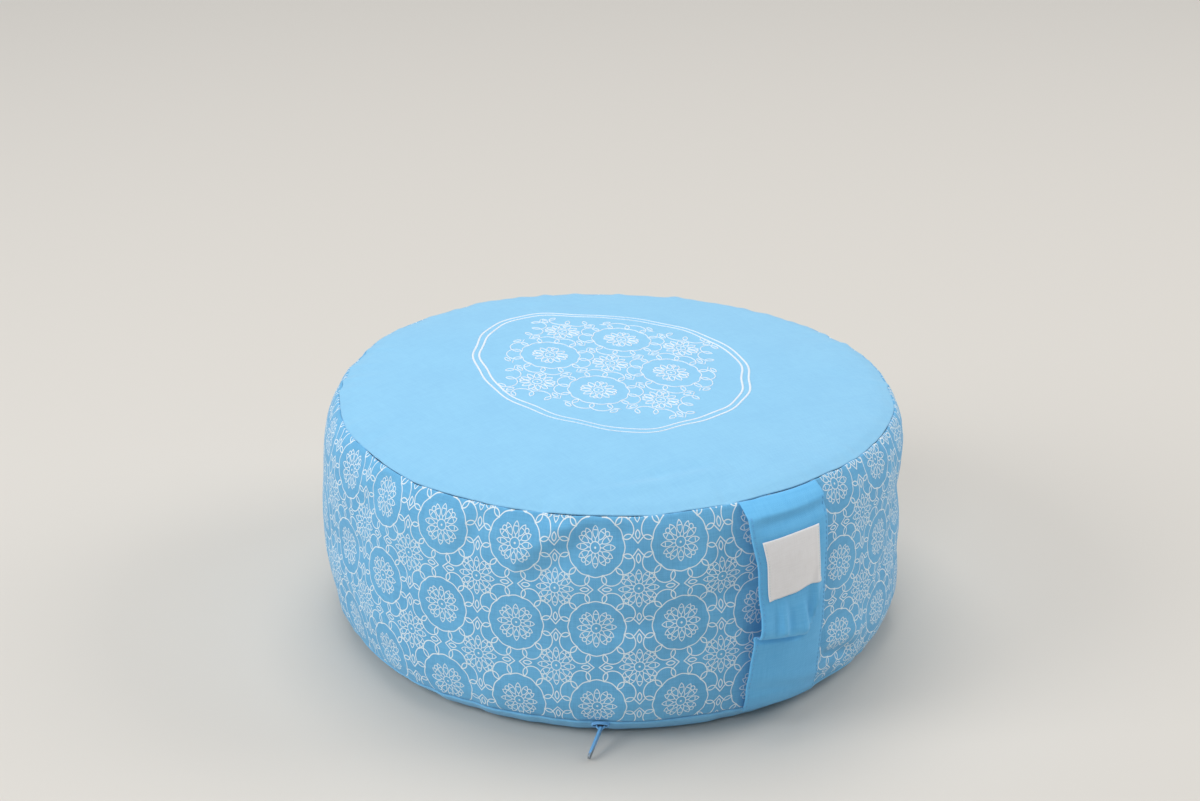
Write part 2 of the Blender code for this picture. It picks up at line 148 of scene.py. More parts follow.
class Ripple(NamedTuple):
    """A slant wave: its height in mm, its radians per unit of either coordinate, and its phase."""

    height: float
    by_first: float
    by_second: float
    phase: float


def ripples(first: Array, second: Array, table: Iterable[Ripple]) -> Array:
    """The sum of the table's slant waves, in mm."""
    return sum(r.height * np.sin(r.by_first * first + r.by_second * second + r.phase)
               for r in table)


class Fold(NamedTuple):
    """A soft ridge (outward above 0) or trough in the side band, in degrees and mm."""

    azimuth_a: float
    height_a: float
    azimuth_b: float
    height_b: float
    half_width: float
    outward: float


class Swell(NamedTuple):
    """A broad swelling or sag of the filled side, in degrees and mm."""

    azimuth: float
    height: float
    azimuth_spread: float
    height_spread: float
    outward: float


class SeamRise(NamedTuple):
    """A stretch of the top seam that stands higher, or lower below 0, in degrees and mm."""

    azimuth: float
    spread: float
    rise: float


class Wave(NamedTuple):
    """One wave round the cushion: how many to a turn, its phase and its height in mm."""

    turns: int
    phase: float
    height: float


class Dimple(NamedTuple):
    """A pucker that runs in from the top seam: azimuth, length, half width and depth in mm."""

    azimuth: float
    length: float
    half_width: float
    depth: float


class Crease(NamedTuple):
    """A soft ridge (upward above 0) or trough in the top cloth: its ends seen from above, in mm."""

    x_a: float
    y_a: float
    x_b: float
    y_b: float
    half_width: float
    upward: float


FOLDS = (
    Fold(-45.6, 137, -53.5, 113, 6.5, 2.8),
    Fold(-39.5, 132, -48.3, 107, 6.5, -2.5),
    Fold(-34.0, 131, -24.5, 114, 5.5, -1.9),
    Fold(-18.8, 113, -15.8, 106, 6, 1.5),
    Fold(-61.6, 130, -64.6, 115, 6, -2.0),
    Fold(-36.1, 73.5, -9.5, 94, 6.5, -2.4),
    Fold(-27.6, 54.5, -14.3, 65, 6, -1.6),
    Fold(10.1, 30, 17.6, 24, 5, -2.6),
    Fold(10.5, 41, 19.0, 37, 7, 1.7),
    Fold(30.0, 60, 44.0, 92, 9, -1.7),
    Fold(-86.0, 132, -92.0, 112, 8, -2.0),
    Fold(-112.0, 60, -94.0, 84, 9, -1.6),
    Fold(-150.0, 131, -146.0, 112, 8, -2.2),
    Fold(-172.0, 40, -158.0, 62, 8, -1.7),
    Fold(166.0, 133, 172.0, 114, 8, -2.2),
    Fold(132.0, 84, 152.0, 66, 9, -1.7),
    Fold(118.0, 132, 112.0, 115, 8, -2.0),
    Fold(82.0, 128, 88.0, 108, 9, -1.9),
    Fold(72.0, 34, 92.0, 46, 8, -1.7),
)
SWELLS = (
    Swell(64, 141, 30, 24, 2.4),
    Swell(50, 96, 34, 22, -1.9),
    Swell(48, 18, 36, 22, 2.6),
    Swell(-112, 22, 26, 18, -2.2),
    Swell(-122, 68, 34, 24, 1.4),
    Swell(-36, 2, 62, 14, 1.4),
    Swell(170, 70, 50, 40, 0.8),
)
SEAM_RISES = (
    SeamRise(-75, 26, -1.6),
    SeamRise(4, 26, 3.2),
    SeamRise(132, 34, -1.6),
    SeamRise(-166, 34, 2.0),
)
SEAM_WOBBLE = (Wave(9, 1.0, 0.45), Wave(14, 2.3, 0.35), Wave(23, 0.6, 0.25))
TOP_GATHERS = (
    Wave(31, 0.4, 0.14), Wave(47, 2.1, 0.15), Wave(62, 4.4, 0.13), Wave(83, 1.2, 0.10),
    Wave(109, 5.1, 0.07),
)
BASE_GATHERS = (
    Wave(27, 3.4, 0.20), Wave(41, 0.9, 0.20), Wave(58, 5.2, 0.15), Wave(77, 2.6, 0.10),
)
DRAPE = (
    Ripple(0.22, 13, 1 / 19, 0.0),
    Ripple(0.16, 29, -1 / 13, 1.1),
    Ripple(0.13, 41, 1 / 9, 2.7),
    Ripple(0.10, -17, 1 / 7, 0.0),
)
CROWN_SOFTNESS = (
    Ripple(0.20, 1 / 15, 1 / 27, 0.8),
    Ripple(0.16, -1 / 31, 1 / 12, 2.2),
    Ripple(0.10, 1 / 8, -1 / 9, 4.0),
)
LABEL_SOFTNESS = (Ripple(0.16, 7, 4, 1.0), Ripple(0.10, -5, 11, 0.0))
DIMPLES = (
    Dimple(-50.2, 27, 4.0, 1.1),
    Dimple(-13.2, 21, 3.2, 1.1),
    Dimple(-30.0, 12, 5.0, 0.4),
    Dimple(-60.0, 14, 4.0, 0.5),
    Dimple(-99.0, 24, 5.0, 0.6),
    Dimple(24.0, 14, 4.5, 0.5),
    Dimple(52.0, 18, 5.0, 0.5),
    Dimple(86.0, 13, 5.0, 0.25),
    Dimple(121.0, 17, 6.0, 0.2),
    Dimple(158.0, 14, 6.0, 0.2),
    Dimple(-163.0, 18, 6.0, 0.2),
    Dimple(-124.0, 15, 5.0, 0.25),
)
TOP_CREASES = (
    Crease(-76, -112, -56, -118, 4.8, -0.75),
    Crease(-56, -118, -30, -126, 4.8, -0.75),
    Crease(-103, -109, -70, -122, 5.5, 0.7),
    Crease(-70, -122, -24, -135, 5.5, 0.8),
    Crease(-138, 29, -152, 22, 6.0, -0.4),
    Crease(96, -92, 118, -64, 9.0, -0.4),
    Crease(60, 118, 24, 134, 9.0, -0.4),
)


def waves(azimuth: Array, table: Iterable[Wave]) -> Array:
    """The sum of the table's waves at azimuths in degrees, in metres."""
    angle = np.radians(azimuth)
    return sum(w.height * MM * np.sin(w.turns * angle + w.phase) for w in table)


@dataclass(frozen=True)
class CushionForm:
    """The turned profile of the whole cushion, and where the sewn cloth departs from it.

    dimple_fade is how far in from the seam the top cloth's small gathers fade, in mm.
    """

    radius: float = 175 * MM
    widest: float = 79 * MM
    top_seam_radius: float = 165.6 * MM
    top_seam: float = 140.4 * MM
    crown: float = 10.5 * MM
    crown_power: float = 3.2
    base_seam_radius: float = 167 * MM
    base_seam: float = 9.6 * MM
    base_flat: float = 141 * MM
    base_power: float = 3
    side_power: float = 5
    top_lean: float = 2.4 * MM
    rim_roll: float = 1.4 * MM
    rim_roll_inside: float = 9 * MM
    rim_roll_outside: float = 1 * MM
    seam_sink: float = 0.2 * MM
    lean_reach: Span = (30 * MM, 165 * MM)
    gather_reach: float = 9 * MM
    gather_size: float = 1.6
    dimple_fade: float = 7
    side_start: Span = (11 * MM, 17 * MM)
    side_end: Span = (134 * MM, 138.2 * MM)
    rim_reach: Span = (120 * MM, 165 * MM)
    sag: float = 0.9 * MM
    sag_above: Span = (60 * MM, 132 * MM)
    sag_within: Span = (95 * MM, 160 * MM)
    sag_waves: Span = (38 * MM, 44 * MM)
    front_lift: SeamRise = SeamRise(-28, 42, 1.8)
    front_lift_start: Span = (3 * MM, 10 * MM)
    front_lift_end: Span = (14 * MM, 60 * MM)

    def band_radius(self, height: Array) -> Array:
        """The side band's radius at a height: nearly upright, rolling in at both seams.

        Args:
            height: Heights in the turned profile.

        Returns:
            The radii.
        """
        above = np.clip((height - self.widest) / (self.top_seam - self.widest), 0, None)
        below = np.clip((self.widest - height) / (self.widest - self.base_seam), 0, None)
        top = (self.radius - self.top_seam_radius) * above ** self.side_power
        base = (self.radius - self.base_seam_radius) * below ** self.side_power
        return self.radius - top - base

    def crown_height(self, radius: Array) -> Array:
        """The top panel's outer face at a radius, rolling over just before the seam.

        Args:
            radius: Radii in the turned profile.

        Returns:
            The heights.
        """
        dome = self.crown * (1 - (radius / self.top_seam_radius) ** self.crown_power)
        start = self.top_seam_radius - self.rim_roll_inside
        end = self.top_seam_radius + self.rim_roll_outside
        roll = self.rim_roll * (1 - smooth(radius, start, end))
        return self.top_seam + dome + roll - self.seam_sink

    def base_height(self, radius: Array) -> Array:
        """The bottom panel's outer face at a radius: flat, then curving up to its seam."""
        share = np.clip(radius - self.base_flat, 0, None)
        share = share / (self.base_seam_radius - self.base_flat)
        return self.base_seam * share ** self.base_power

    def fold_depth(self, azimuth: Array, height: Array) -> Array:
        """How far the ridges and troughs move the band outward, in metres.

        Args:
            azimuth: Azimuths in degrees.
            height: Heights in the turned profile.

        Returns:
            The distances.
        """
        arc = np.radians(1) * self.radius / MM
        moved = 0.0
        for fold in FOLDS:
            far = turned(fold.azimuth_b, fold.azimuth_a) * arc
            here = turned(azimuth, fold.azimuth_a) * arc
            away = from_segment(here, height / MM, (0.0, fold.height_a, far, fold.height_b))
            moved = moved + fold.outward * bump(away, 0, fold.half_width)
        return moved * MM

    def side_depth(self, azimuth: Array, height: Array) -> Array:
        """How far the swellings and the gathered seams move the side outward, in metres.

        Args:
            azimuth: Azimuths in degrees.
            height: Heights in the turned profile.

        Returns:
            The distances.
        """
        moved = 0.0
        for swell in SWELLS:
            across = turned(azimuth, swell.azimuth) / swell.azimuth_spread
            up = (height / MM - swell.height) / swell.height_spread
            moved = moved + swell.outward * np.exp(-across * across - up * up)
        gathered = smooth(height, 4 * MM, 12 * MM) * waves(azimuth, SEAM_WOBBLE)
        return moved * MM + gathered

    def lean(self, azimuth: Array, radius: Array, height: Array) -> Array:
        """How much higher than level the cushion stands at a point, in metres.

        Args:
            azimuth: Azimuths in degrees.
            radius: Radii in the turned profile.
            height: Heights in the turned profile.

        Returns:
            The rises.
        """
        rise = self.top_lean * np.cos(np.radians(azimuth)) * radius / self.radius
        outer = smooth(radius, *self.lean_reach)
        for seam in SEAM_RISES:
            along = bump(turned(azimuth, seam.azimuth), 0, seam.spread)
            rise = rise + seam.rise * MM * outer * along
        return rise * height / self.top_seam

    def gathers(self, azimuth: Array, height: Array) -> Array:
        """The small puckers of the band where it is sewn to the two panels, in metres.

        Args:
            azimuth: Azimuths in degrees.
            height: Heights in the turned profile.

        Returns:
            How far outward they stand.
        """
        slow = 0.75 + 0.45 * np.sin(np.radians(azimuth) * 5 + 0.7)
        slow = slow + 0.3 * np.sin(np.radians(azimuth) * 11 + 2.9)
        top = np.exp(-np.clip(self.top_seam - height, 0, None) / self.gather_reach)
        low = np.exp(-np.clip(height - self.base_seam, 0, None) / (1.3 * self.gather_reach))
        moved = top * waves(azimuth, TOP_GATHERS) + low * waves(azimuth, BASE_GATHERS)
        return self.gather_size * slow * moved

    def drape(self, azimuth: Array, height: Array) -> Array:
        """The slight unevenness of cloth pressed out by loose filling, in metres."""
        return ripples(np.radians(azimuth), height / MM, DRAPE) * MM

    def placed(self, azimuth: Array, radius: Array, height: Array) -> Array:
        """Where points of the turned profile lie in the sewn and filled cushion.

        Args:
            azimuth: Azimuths in degrees.
            radius: Radii in the turned profile.
            height: Heights in the turned profile.

        Returns:
            The points, as an array of x, y, z.
        """
        side = smooth(height, *self.side_start) * (1 - smooth(height, *self.side_end))
        rim = smooth(radius, *self.rim_reach)
        outward = side * self.fold_depth(azimuth, height) + rim * self.side_depth(azimuth, height)
        small = side * self.drape(azimuth, height) + rim * self.gathers(azimuth, height)
        plain = around(azimuth, radius, height)
        x, y = plain[..., 0], plain[..., 1]
        inner = smooth(height, *self.sag_above) * (1 - smooth(radius, *self.sag_within))
        wide, deep = self.sag_waves
        hollow = self.sag * np.sin(x / wide + 0.6) * np.cos(y / deep - 0.4)
        lift = self.front_lift
        seam_rise = lift.rise * MM * bump(turned(azimuth, lift.azimuth), 0, lift.spread)
        seam_rise = seam_rise * smooth(height, *self.front_lift_start)
        seam_rise = seam_rise * (1 - smooth(height, *self.front_lift_end))
        points = around(azimuth, radius + outward + small, height)
        points[..., 2] += self.lean(azimuth, radius, height) + inner * hollow + seam_rise
        return points

    def crown_relief(self, azimuth: Array, radius: Array) -> Array:
        """The top cloth's own soft relief and its puckers at the seam, in metres.

        Args:
            azimuth: Azimuths in degrees.
            radius: Radii in the turned profile.

        Returns:
            How far upward they stand.
        """
        plain = around(azimuth, radius, 0 * radius) / MM
        x, y = plain[..., 0], plain[..., 1]
        soft = ripples(x, y, CROWN_SOFTNESS) * (0.35 + 0.65 * smooth(radius, 60 * MM, 150 * MM))
        for crease in TOP_CREASES:
            soft = soft + crease.upward * bump(from_segment(x, y, crease[:4]), 0, crease.half_width)
        inward = np.clip(self.top_seam_radius - radius, 0, None) / MM
        drawn = waves(azimuth, TOP_GATHERS) / MM * np.exp(-inward / self.dimple_fade)
        for dimple in DIMPLES:
            across = turned(azimuth, dimple.azimuth) * np.radians(1) * radius / MM
            along = smooth(inward, -2, 3) * (1 - smooth(inward, 3, dimple.length))
            drawn = drawn - dimple.depth * bump(across, 0, dimple.half_width) * along
        return (soft + drawn) * MM

    def crown_point(self, azimuth: Array, radius: Array) -> Array:
        """Points on the finished top cloth's outer face, as an array of x, y, z."""
        points = self.placed(azimuth, radius, self.crown_height(radius))
        points[..., 2] += self.crown_relief(azimuth, radius)
        return points

    def crown_under(self, x: Array, y: Array) -> Array:
        """Points of the top cloth under places inside the roundel, as an array of x, y, z."""
        points = self.crown_point(np.degrees(np.arctan2(x, -y)), np.hypot(x, y))
        return np.stack([x, y, points[..., 2]], -1)


# Meshes.

class Corners(NamedTuple):
    """For each corner of each face of a grid: its row and column, and its face's."""

    row: Array
    column: Array
    face_row: Array
    face_column: Array


MapMaker = Callable[[Corners], Array]


def finished(name: str, mesh: Mesh, merged: bool = False) -> Piece:
    """Turn a mesh's faces outward, smooth it and link it to the scene as an object.

    Args:
        name: The piece's name.
        mesh: Its mesh.
        merged: Whether points that meet are joined first.

    Returns:
        The new object.
    """
    work = bmesh.new()
    work.from_mesh(mesh)
    if merged:
        bmesh.ops.remove_doubles(work, verts=work.verts, dist=SAME_POINT)
        bmesh.ops.dissolve_degenerate(work, edges=work.edges, dist=SAME_POINT / 2)
    bmesh.ops.recalc_face_normals(work, faces=work.faces)
    work.to_mesh(mesh)
    work.free()
    mesh.shade_smooth()
    piece = bpy.data.objects.new(name, mesh)
    bpy.context.scene.collection.objects.link(piece)
    return piece


def grid_piece(name: str, points: Array, maps: dict[str, MapMaker]) -> Piece:
    """Make an object of quads over a grid of points; points that meet are joined.

    Args:
        name: The piece's name.
        points: The grid, as rows by columns by x, y, z; rows run down, columns to the right,
            and the last column joins the first.
        maps: For each map's name, what gives its coordinates at the faces' corners.

    Returns:
        The new object, linked to the scene.
    """
    rows, columns = points.shape[:2]
    row, column = np.meshgrid(np.arange(rows - 1), np.arange(columns), indexing="ij")
    row, column = row.ravel()[:, None], column.ravel()[:, None]
    corner_row = row + np.array([0, 1, 1, 0])
    corner_column = column + np.array([0, 0, 1, 1])
    faces = corner_row * columns + corner_column % columns
    mesh = bpy.data.meshes.new(name)
    mesh.from_pydata(points.reshape(-1, 3).tolist(), [], faces.tolist())
    spots = Corners(
        corner_row.ravel(), corner_column.ravel(), np.repeat(row.ravel(), 4),
        np.repeat(column.ravel(), 4),
    )
    for map_name, maker in maps.items():
        layer = mesh.uv_layers.new(name=map_name)
        layer.data.foreach_set("uv", maker(spots).astype(np.float32).ravel())
    return finished(name, mesh, merged=True)


def closed_sheet(outer: Array, inner: Array) -> Array:
    """Join a sheet's two faces into one closed grid whose columns wrap round the cloth.

    Args:
        outer: The outer face's points, as rows by columns by x, y, z.
        inner: The inner face's points, of the same shape.

    Returns:
        The grid, with a row at each end in which the two faces meet.
    """
    loop = np.concatenate([outer, inner[:, ::-1]], 1)
    middle = (outer + inner) / 2
    folded = np.concatenate([middle, middle[:, ::-1]], 1)
    return np.concatenate([folded[:1], loop, folded[-1:]], 0)


def swept(
    name: str, paths: Sequence[Array], ups: Sequence[Array], section: Section,
    half_width: float | Array, height: float, closed: Sequence[bool],
) -> Piece:
    """Sweep a thread's section along paths.

    Args:
        name: The piece's name.
        paths: Each path's points.
        ups: For each path, the cloth's outward direction at its points.
        section: The thread's section.
        half_width: Half of the thread's width, or that at each of a path's points.
        height: How far the thread stands up.
        closed: For each path, whether it returns to its start.

    Returns:
        The new object, linked to the scene.
    """
    shape = np.array(section.value)
    around_section = len(shape)
    points, faces, start = [], [], 0
    for path, up, ring in zip(paths, ups, closed):
        if ring:
            along = np.roll(path, -1, 0) - np.roll(path, 1, 0)
        else:
            along = np.gradient(path, axis=0)
        along /= np.linalg.norm(along, axis=1, keepdims=True) + TINY
        side = np.cross(along, up)
        side /= np.linalg.norm(side, axis=1, keepdims=True) + TINY
        size = np.ones(len(path))
        if not ring:
            size[[0, -1]] = THREAD_END
        width = np.broadcast_to(half_width, len(path))[:, None, None]
        spread = shape[None, :, 0, None] * side[:, None] * width
        raised = shape[None, :, 1, None] * up[:, None] * height
        points.append((path[:, None] + (spread + raised) * size[:, None, None]).reshape(-1, 3))
        count = len(path)
        steps = np.arange(count if ring else count - 1)[:, None]
        spots = np.arange(around_section)[None, :]
        after = (spots + 1) % around_section
        nearer, further = steps * around_section, (steps + 1) % count * around_section
        quads = np.stack([nearer + spots, nearer + after, further + after, further + spots], -1)
        faces += (quads.reshape(-1, 4) + start).tolist()
        if not ring:
            first = start + np.arange(around_section)
            faces += [first[::-1].tolist(), (first + (count - 1) * around_section).tolist()]
        start += count * around_section
    mesh = bpy.data.meshes.new(name)
    mesh.from_pydata(np.concatenate(points).tolist(), [], faces)
    return finished(name, mesh)


def offset_inward(line: Array, distance: float) -> Array:
    """Move a profile, given top to bottom down its outer side, inward along its normals."""
    along = np.gradient(line, axis=0)
    along /= np.linalg.norm(along, axis=1, keepdims=True)
    return line + np.stack([along[:, 1], -along[:, 0]], 1) * distance


def folded_map(share: Array, width: float, length: float, rows: int) -> MapMaker:
    """What lays a map in metres over both faces of a closed sheet.

    Args:
        share: Across the cloth, from 0 to 1, at each column of one face.
        width: The cloth's width.
        length: Its length.
        rows: How many rows that length is divided into.

    Returns:
        What gives the map's coordinates at the faces' corners.
    """
    last = 2 * len(share) - 1

    def metres(spots: Corners) -> Array:
        """Metres across the cloth and down it, at each corner."""
        column = np.clip(np.minimum(spots.column, last - spots.column), 0, len(share) - 1)
        return np.stack([share[column] * width, spots.row * length / rows], -1)

    return metres


# The filled body and its two panels.

@dataclass(frozen=True)
class PrintLay:
    """How the printed repeat lies on the band: one strip of cloth, joined under the strap.

    Pitch, rosettes, join, slant, turns and shifts are in degrees; the knots of the rows and the
    repeats' heights are in mm. Turns are counted from the front towards +X.
    """

    pitch: float = 15.445
    left_rosette: float = -38.7
    right_rosette: float = 12.4
    join: float = -1.0
    slant: float = 0.5
    turn_knots: tuple[float, ...] = (
        0, 13, 28, 60, 120, 240, 258, 275, 290, 306, 321, 336, 352, 360,
    )
    row_knots: tuple[float, ...] = (
        88, 86.9, 84.8, 81, 78.5, 78, 77.6, 76.8, 74.8, 74.4, 75, 76.8, 79.2, 80,
    )
    repeat_turns: tuple[float, ...] = (0, 30, 90, 250, 290, 345, 360)
    repeat_heights: tuple[float, ...] = (45.8, 45.8, 47.5, 48.5, 49.6, 49.2, 49.0)
    upper_turns: tuple[float, ...] = (0, 13, 28, 90, 250, 290, 345, 360)
    upper_heights: tuple[float, ...] = (46.5, 47.4, 49.2, 49.0, 48.5, 49.2, 48.6, 48.6)
    shift_turns: tuple[float, ...] = (120, 240, 262, 275, 290, 306, 321.3, 336.7, 352)
    shifts: tuple[float, ...] = (0, -2.7, -2.7, -0.5, -0.4, -0.5, 0, -0.35, -0.3)
    low_stretch: float = 0.055

    def at(self, azimuth: Array, height: Array, right: Array) -> Array:
        """The place in the repeat at azimuths and heights.

        Args:
            azimuth: Azimuths in degrees, from -180 to 180.
            height: Heights in the turned profile.
            right: Where the cloth is to the right of the join.

        Returns:
            The places, in repeats across and down; a ringed rosette is at whole numbers.
        """
        from_join = np.where(right, azimuth, azimuth + 360)
        middle = np.interp(from_join, self.turn_knots, self.row_knots)
        lower = np.interp(from_join, self.repeat_turns, self.repeat_heights)
        upper = np.interp(from_join, self.upper_turns, self.upper_heights)
        down = (middle - height / MM) / np.where(height / MM > middle, upper, lower)
        stretched = self.low_stretch * smooth(from_join, 180, 290)
        down = down - stretched * (1 - smooth(height, 22 * MM, 52 * MM))
        start = np.where(right, self.right_rosette, self.left_rosette)
        shift = np.interp(from_join, self.shift_turns, self.shifts)
        across = (azimuth + shift - start - self.slant * down) / self.pitch
        return np.stack([across, down], -1)


FILLING = {
    "quality": 5, "mass": 0.3, "air_damping": 2,
    "tension_stiffness": 15, "compression_stiffness": 15, "shear_stiffness": 8,
    "bending_stiffness": 4, "tension_damping": 8, "compression_damping": 8,
    "vertex_group_mass": "held", "pin_stiffness": 1,
    "vertex_group_shrink": "taut", "shrink_min": -0.022, "shrink_max": 0,
    "use_pressure": True, "uniform_pressure_force": 4,
}


@dataclass
class FilledBody:
    """The hull-filled drum with its printed side band.

    Its radii and its lip, as radius and depth below the top seam, are in mm.
    """

    form: CushionForm
    turns: int = 480
    band_rows: int = 62
    band_ease: float = 0.06
    below_top_seam: float = 0.9 * MM
    above_base_seam: float = 2.4 * MM
    crown_radii: tuple[float, ...] = (0, 30, 60, 90, 115, 135, 148, 156, 160.5, 163.2)
    base_radii: tuple[float, ...] = (166.9, 165.4, 163, 159.6, 155, 149, 141, 110, 60, 0)
    lip: tuple[Span, ...] = (
        (164.0, 1.75), (164.6, 1.3), (165.05, 0.85), (165.35, 0.62), (165.85, 0.6),
    )
    panel_gap: float = 2.3 * MM
    strips: int = 3
    lay: PrintLay = field(default_factory=PrintLay)
    frames: int = 20
    farthest: float = 1.7 * MM
    share: float = 0.6
    least_step: float = 1e-9
    free_from: Span = (12 * MM, 22 * MM)
    free_below_seam: Span = (9 * MM, 3 * MM)
    loose_from: Span = (12 * MM, 44 * MM)
    loose_below_seam: Span = (40 * MM, 5 * MM)
    inside: float = 160 * MM
    first_band: int = 0
    last_band: int = 0

    def profile(self) -> Array:
        """The turned profile from the crown's middle, over the band, to the base's middle."""
        form = self.form
        crown, base = np.array(self.crown_radii) * MM, np.array(self.base_radii) * MM
        top = offset_inward(np.stack([crown, form.crown_height(crown)], -1), self.panel_gap)
        low = offset_inward(np.stack([base, form.base_height(base)], -1), self.panel_gap)
        share = np.linspace(0, 1, self.band_rows + 1)
        share = share - self.band_ease * np.sin(TURN * share)
        highest, lowest = form.top_seam - self.below_top_seam, form.base_seam + self.above_base_seam
        height = highest + (lowest - highest) * share
        band = np.stack([form.band_radius(height), height], -1)
        lip = np.array([(radius * MM, form.top_seam - down * MM) for radius, down in self.lip])
        under = np.array([(form.base_seam_radius - 0.1 * MM, form.base_seam + 1.4 * MM)])
        self.first_band = len(top)
        self.last_band = len(top) + len(lip) + len(band)
        return np.concatenate([top, lip, band, under, low])

    def build(self) -> Piece:
        """Turn the profile and lay the maps over it."""
        profile = self.profile()
        profile[[0, -1], 0] = 0
        points = self.form.placed(azimuths(self.turns), profile[:, 0:1], profile[:, 1:2])
        maps = {
            "Print": lambda spots: self.print_map(spots, profile),
            "Cloth": lambda spots: self.cloth_map(spots, profile),
            "OFBake": lambda spots: self.bake_map(spots, profile),
        }
        piece = grid_piece("filled_body", points, maps)
        piece.data.uv_layers.active = piece.data.uv_layers["Cloth"]
        return piece

    def turn_of(self, column: Array) -> Array:
        """The azimuth at a column, in degrees."""
        return -180 + 360 * column / self.turns

    def print_map(self, spots: Corners, profile: Array) -> Array:
        """The place in the printed repeat at each corner."""
        right = self.turn_of(spots.face_column) >= self.lay.join
        return self.lay.at(self.turn_of(spots.column), profile[spots.row, 1], right)

    def cloth_map(self, spots: Corners, profile: Array) -> Array:
        """Metres along the band and down it, at each corner.

        Args:
            spots: The faces' corners.
            profile: The turned profile.

        Returns:
            The map's coordinates at the corners.
        """
        across = np.radians(self.turn_of(spots.column)) * self.form.radius
        steps = np.hypot(*np.diff(profile, axis=0).T)
        down = np.concatenate([[0], np.cumsum(steps)])
        return np.stack([across, down[spots.row]], -1)

    def bake_map(self, spots: Corners, profile: Array) -> Array:
        """The band in stacked strips over nearly the whole square, the hidden faces beside it.

        Args:
            spots: The faces' corners.
            profile: The turned profile.

        Returns:
            The map's coordinates at the corners.
        """
        per_strip = self.turns // self.strips
        strip = spots.face_column // per_strip
        across = (spots.column - strip * per_strip) / per_strip
        steps = np.hypot(*np.diff(profile[self.first_band:self.last_band + 1], axis=0).T)
        down = np.concatenate([[0], np.cumsum(steps)]) / steps.sum()
        row = np.clip(spots.row - self.first_band, 0, len(down) - 1)
        tall = 0.9 / self.strips
        up = 0.005 + (strip + 0.985 * (1 - down[row])) * tall
        band = np.stack([0.01 + 0.98 * across, up], -1)
        flat = around(self.turn_of(spots.column), profile[spots.row, 0], 0)[:, :2] * 0.25
        hidden_top = spots.face_row < self.first_band
        hidden_base = spots.face_row >= self.last_band
        band[hidden_top] = flat[hidden_top] + [0.07, 0.95]
        band[hidden_base] = flat[hidden_base] + [0.2, 0.95]
        return band

    def fill(self, piece: Piece) -> None:
        """Let the filling press the loose band out between its two seams, uneven as it lies.

        The form already has the filled girth, so each row keeps its mean place and only what
        differs from that along the row is added.

        Args:
            piece: The body, whose points are moved.
        """
        if not self.frames:
            return
        mesh = piece.data
        start = np.empty(len(mesh.vertices) * 3, np.float32)
        mesh.vertices.foreach_get("co", start)
        start = start.reshape(-1, 3)
        height = start[:, 2]
        radius = np.hypot(start[:, 0], start[:, 1])
        free_end = [self.form.top_seam - below for below in self.free_below_seam]
        loose_end = [self.form.top_seam - below for below in self.loose_below_seam]
        free = smooth(height, *self.free_from) * (1 - smooth(height, *free_end))
        free *= radius > self.inside
        loose = smooth(height, *self.loose_from) * (1 - smooth(height, *loose_end))
        for name, weights in (("held", 1 - free), ("taut", 1 - loose)):
            group = piece.vertex_groups.new(name=name)
            for index, value in enumerate(weights.tolist()):
                group.add([index], value, "REPLACE")
        cloth = piece.modifiers.new("filling", "CLOTH")
        for name, value in FILLING.items():
            setattr(cloth.settings, name, value)
        cloth.settings.effector_weights.gravity = 0
        cloth.point_cache.frame_start = 1
        cloth.point_cache.frame_end = self.frames
        scene = bpy.context.scene
        for number in range(1, self.frames + 1):
            scene.frame_set(number)
        evaluated = piece.evaluated_get(bpy.context.evaluated_depsgraph_get())
        moved = np.empty(len(mesh.vertices) * 3, np.float32)
        evaluated.data.vertices.foreach_get("co", moved)
        step = moved.reshape(-1, 3) - start
        rows = step[1:-1].reshape(-1, self.turns, 3)
        facing = around(azimuths(self.turns)[0], 1.0, 0.0)
        outward = (rows * facing).sum(-1, keepdims=True)
        rows -= outward.mean(1, keepdims=True) * facing
        rows[..., 2] -= rows[..., 2].mean(1, keepdims=True)
        step *= self.share
        length = np.linalg.norm(step, axis=1, keepdims=True) + self.least_step
        LOG.info("filling moves the band by up to %.2f mm from the mean", float(length.max()) / MM)
        step *= self.farthest * np.tanh(length / self.farthest) / length
        piece.modifiers.remove(cloth)
        piece.vertex_groups.clear()
        scene.frame_set(1)
        mesh.vertices.foreach_set("co", (start + step).ravel())
        mesh.update()


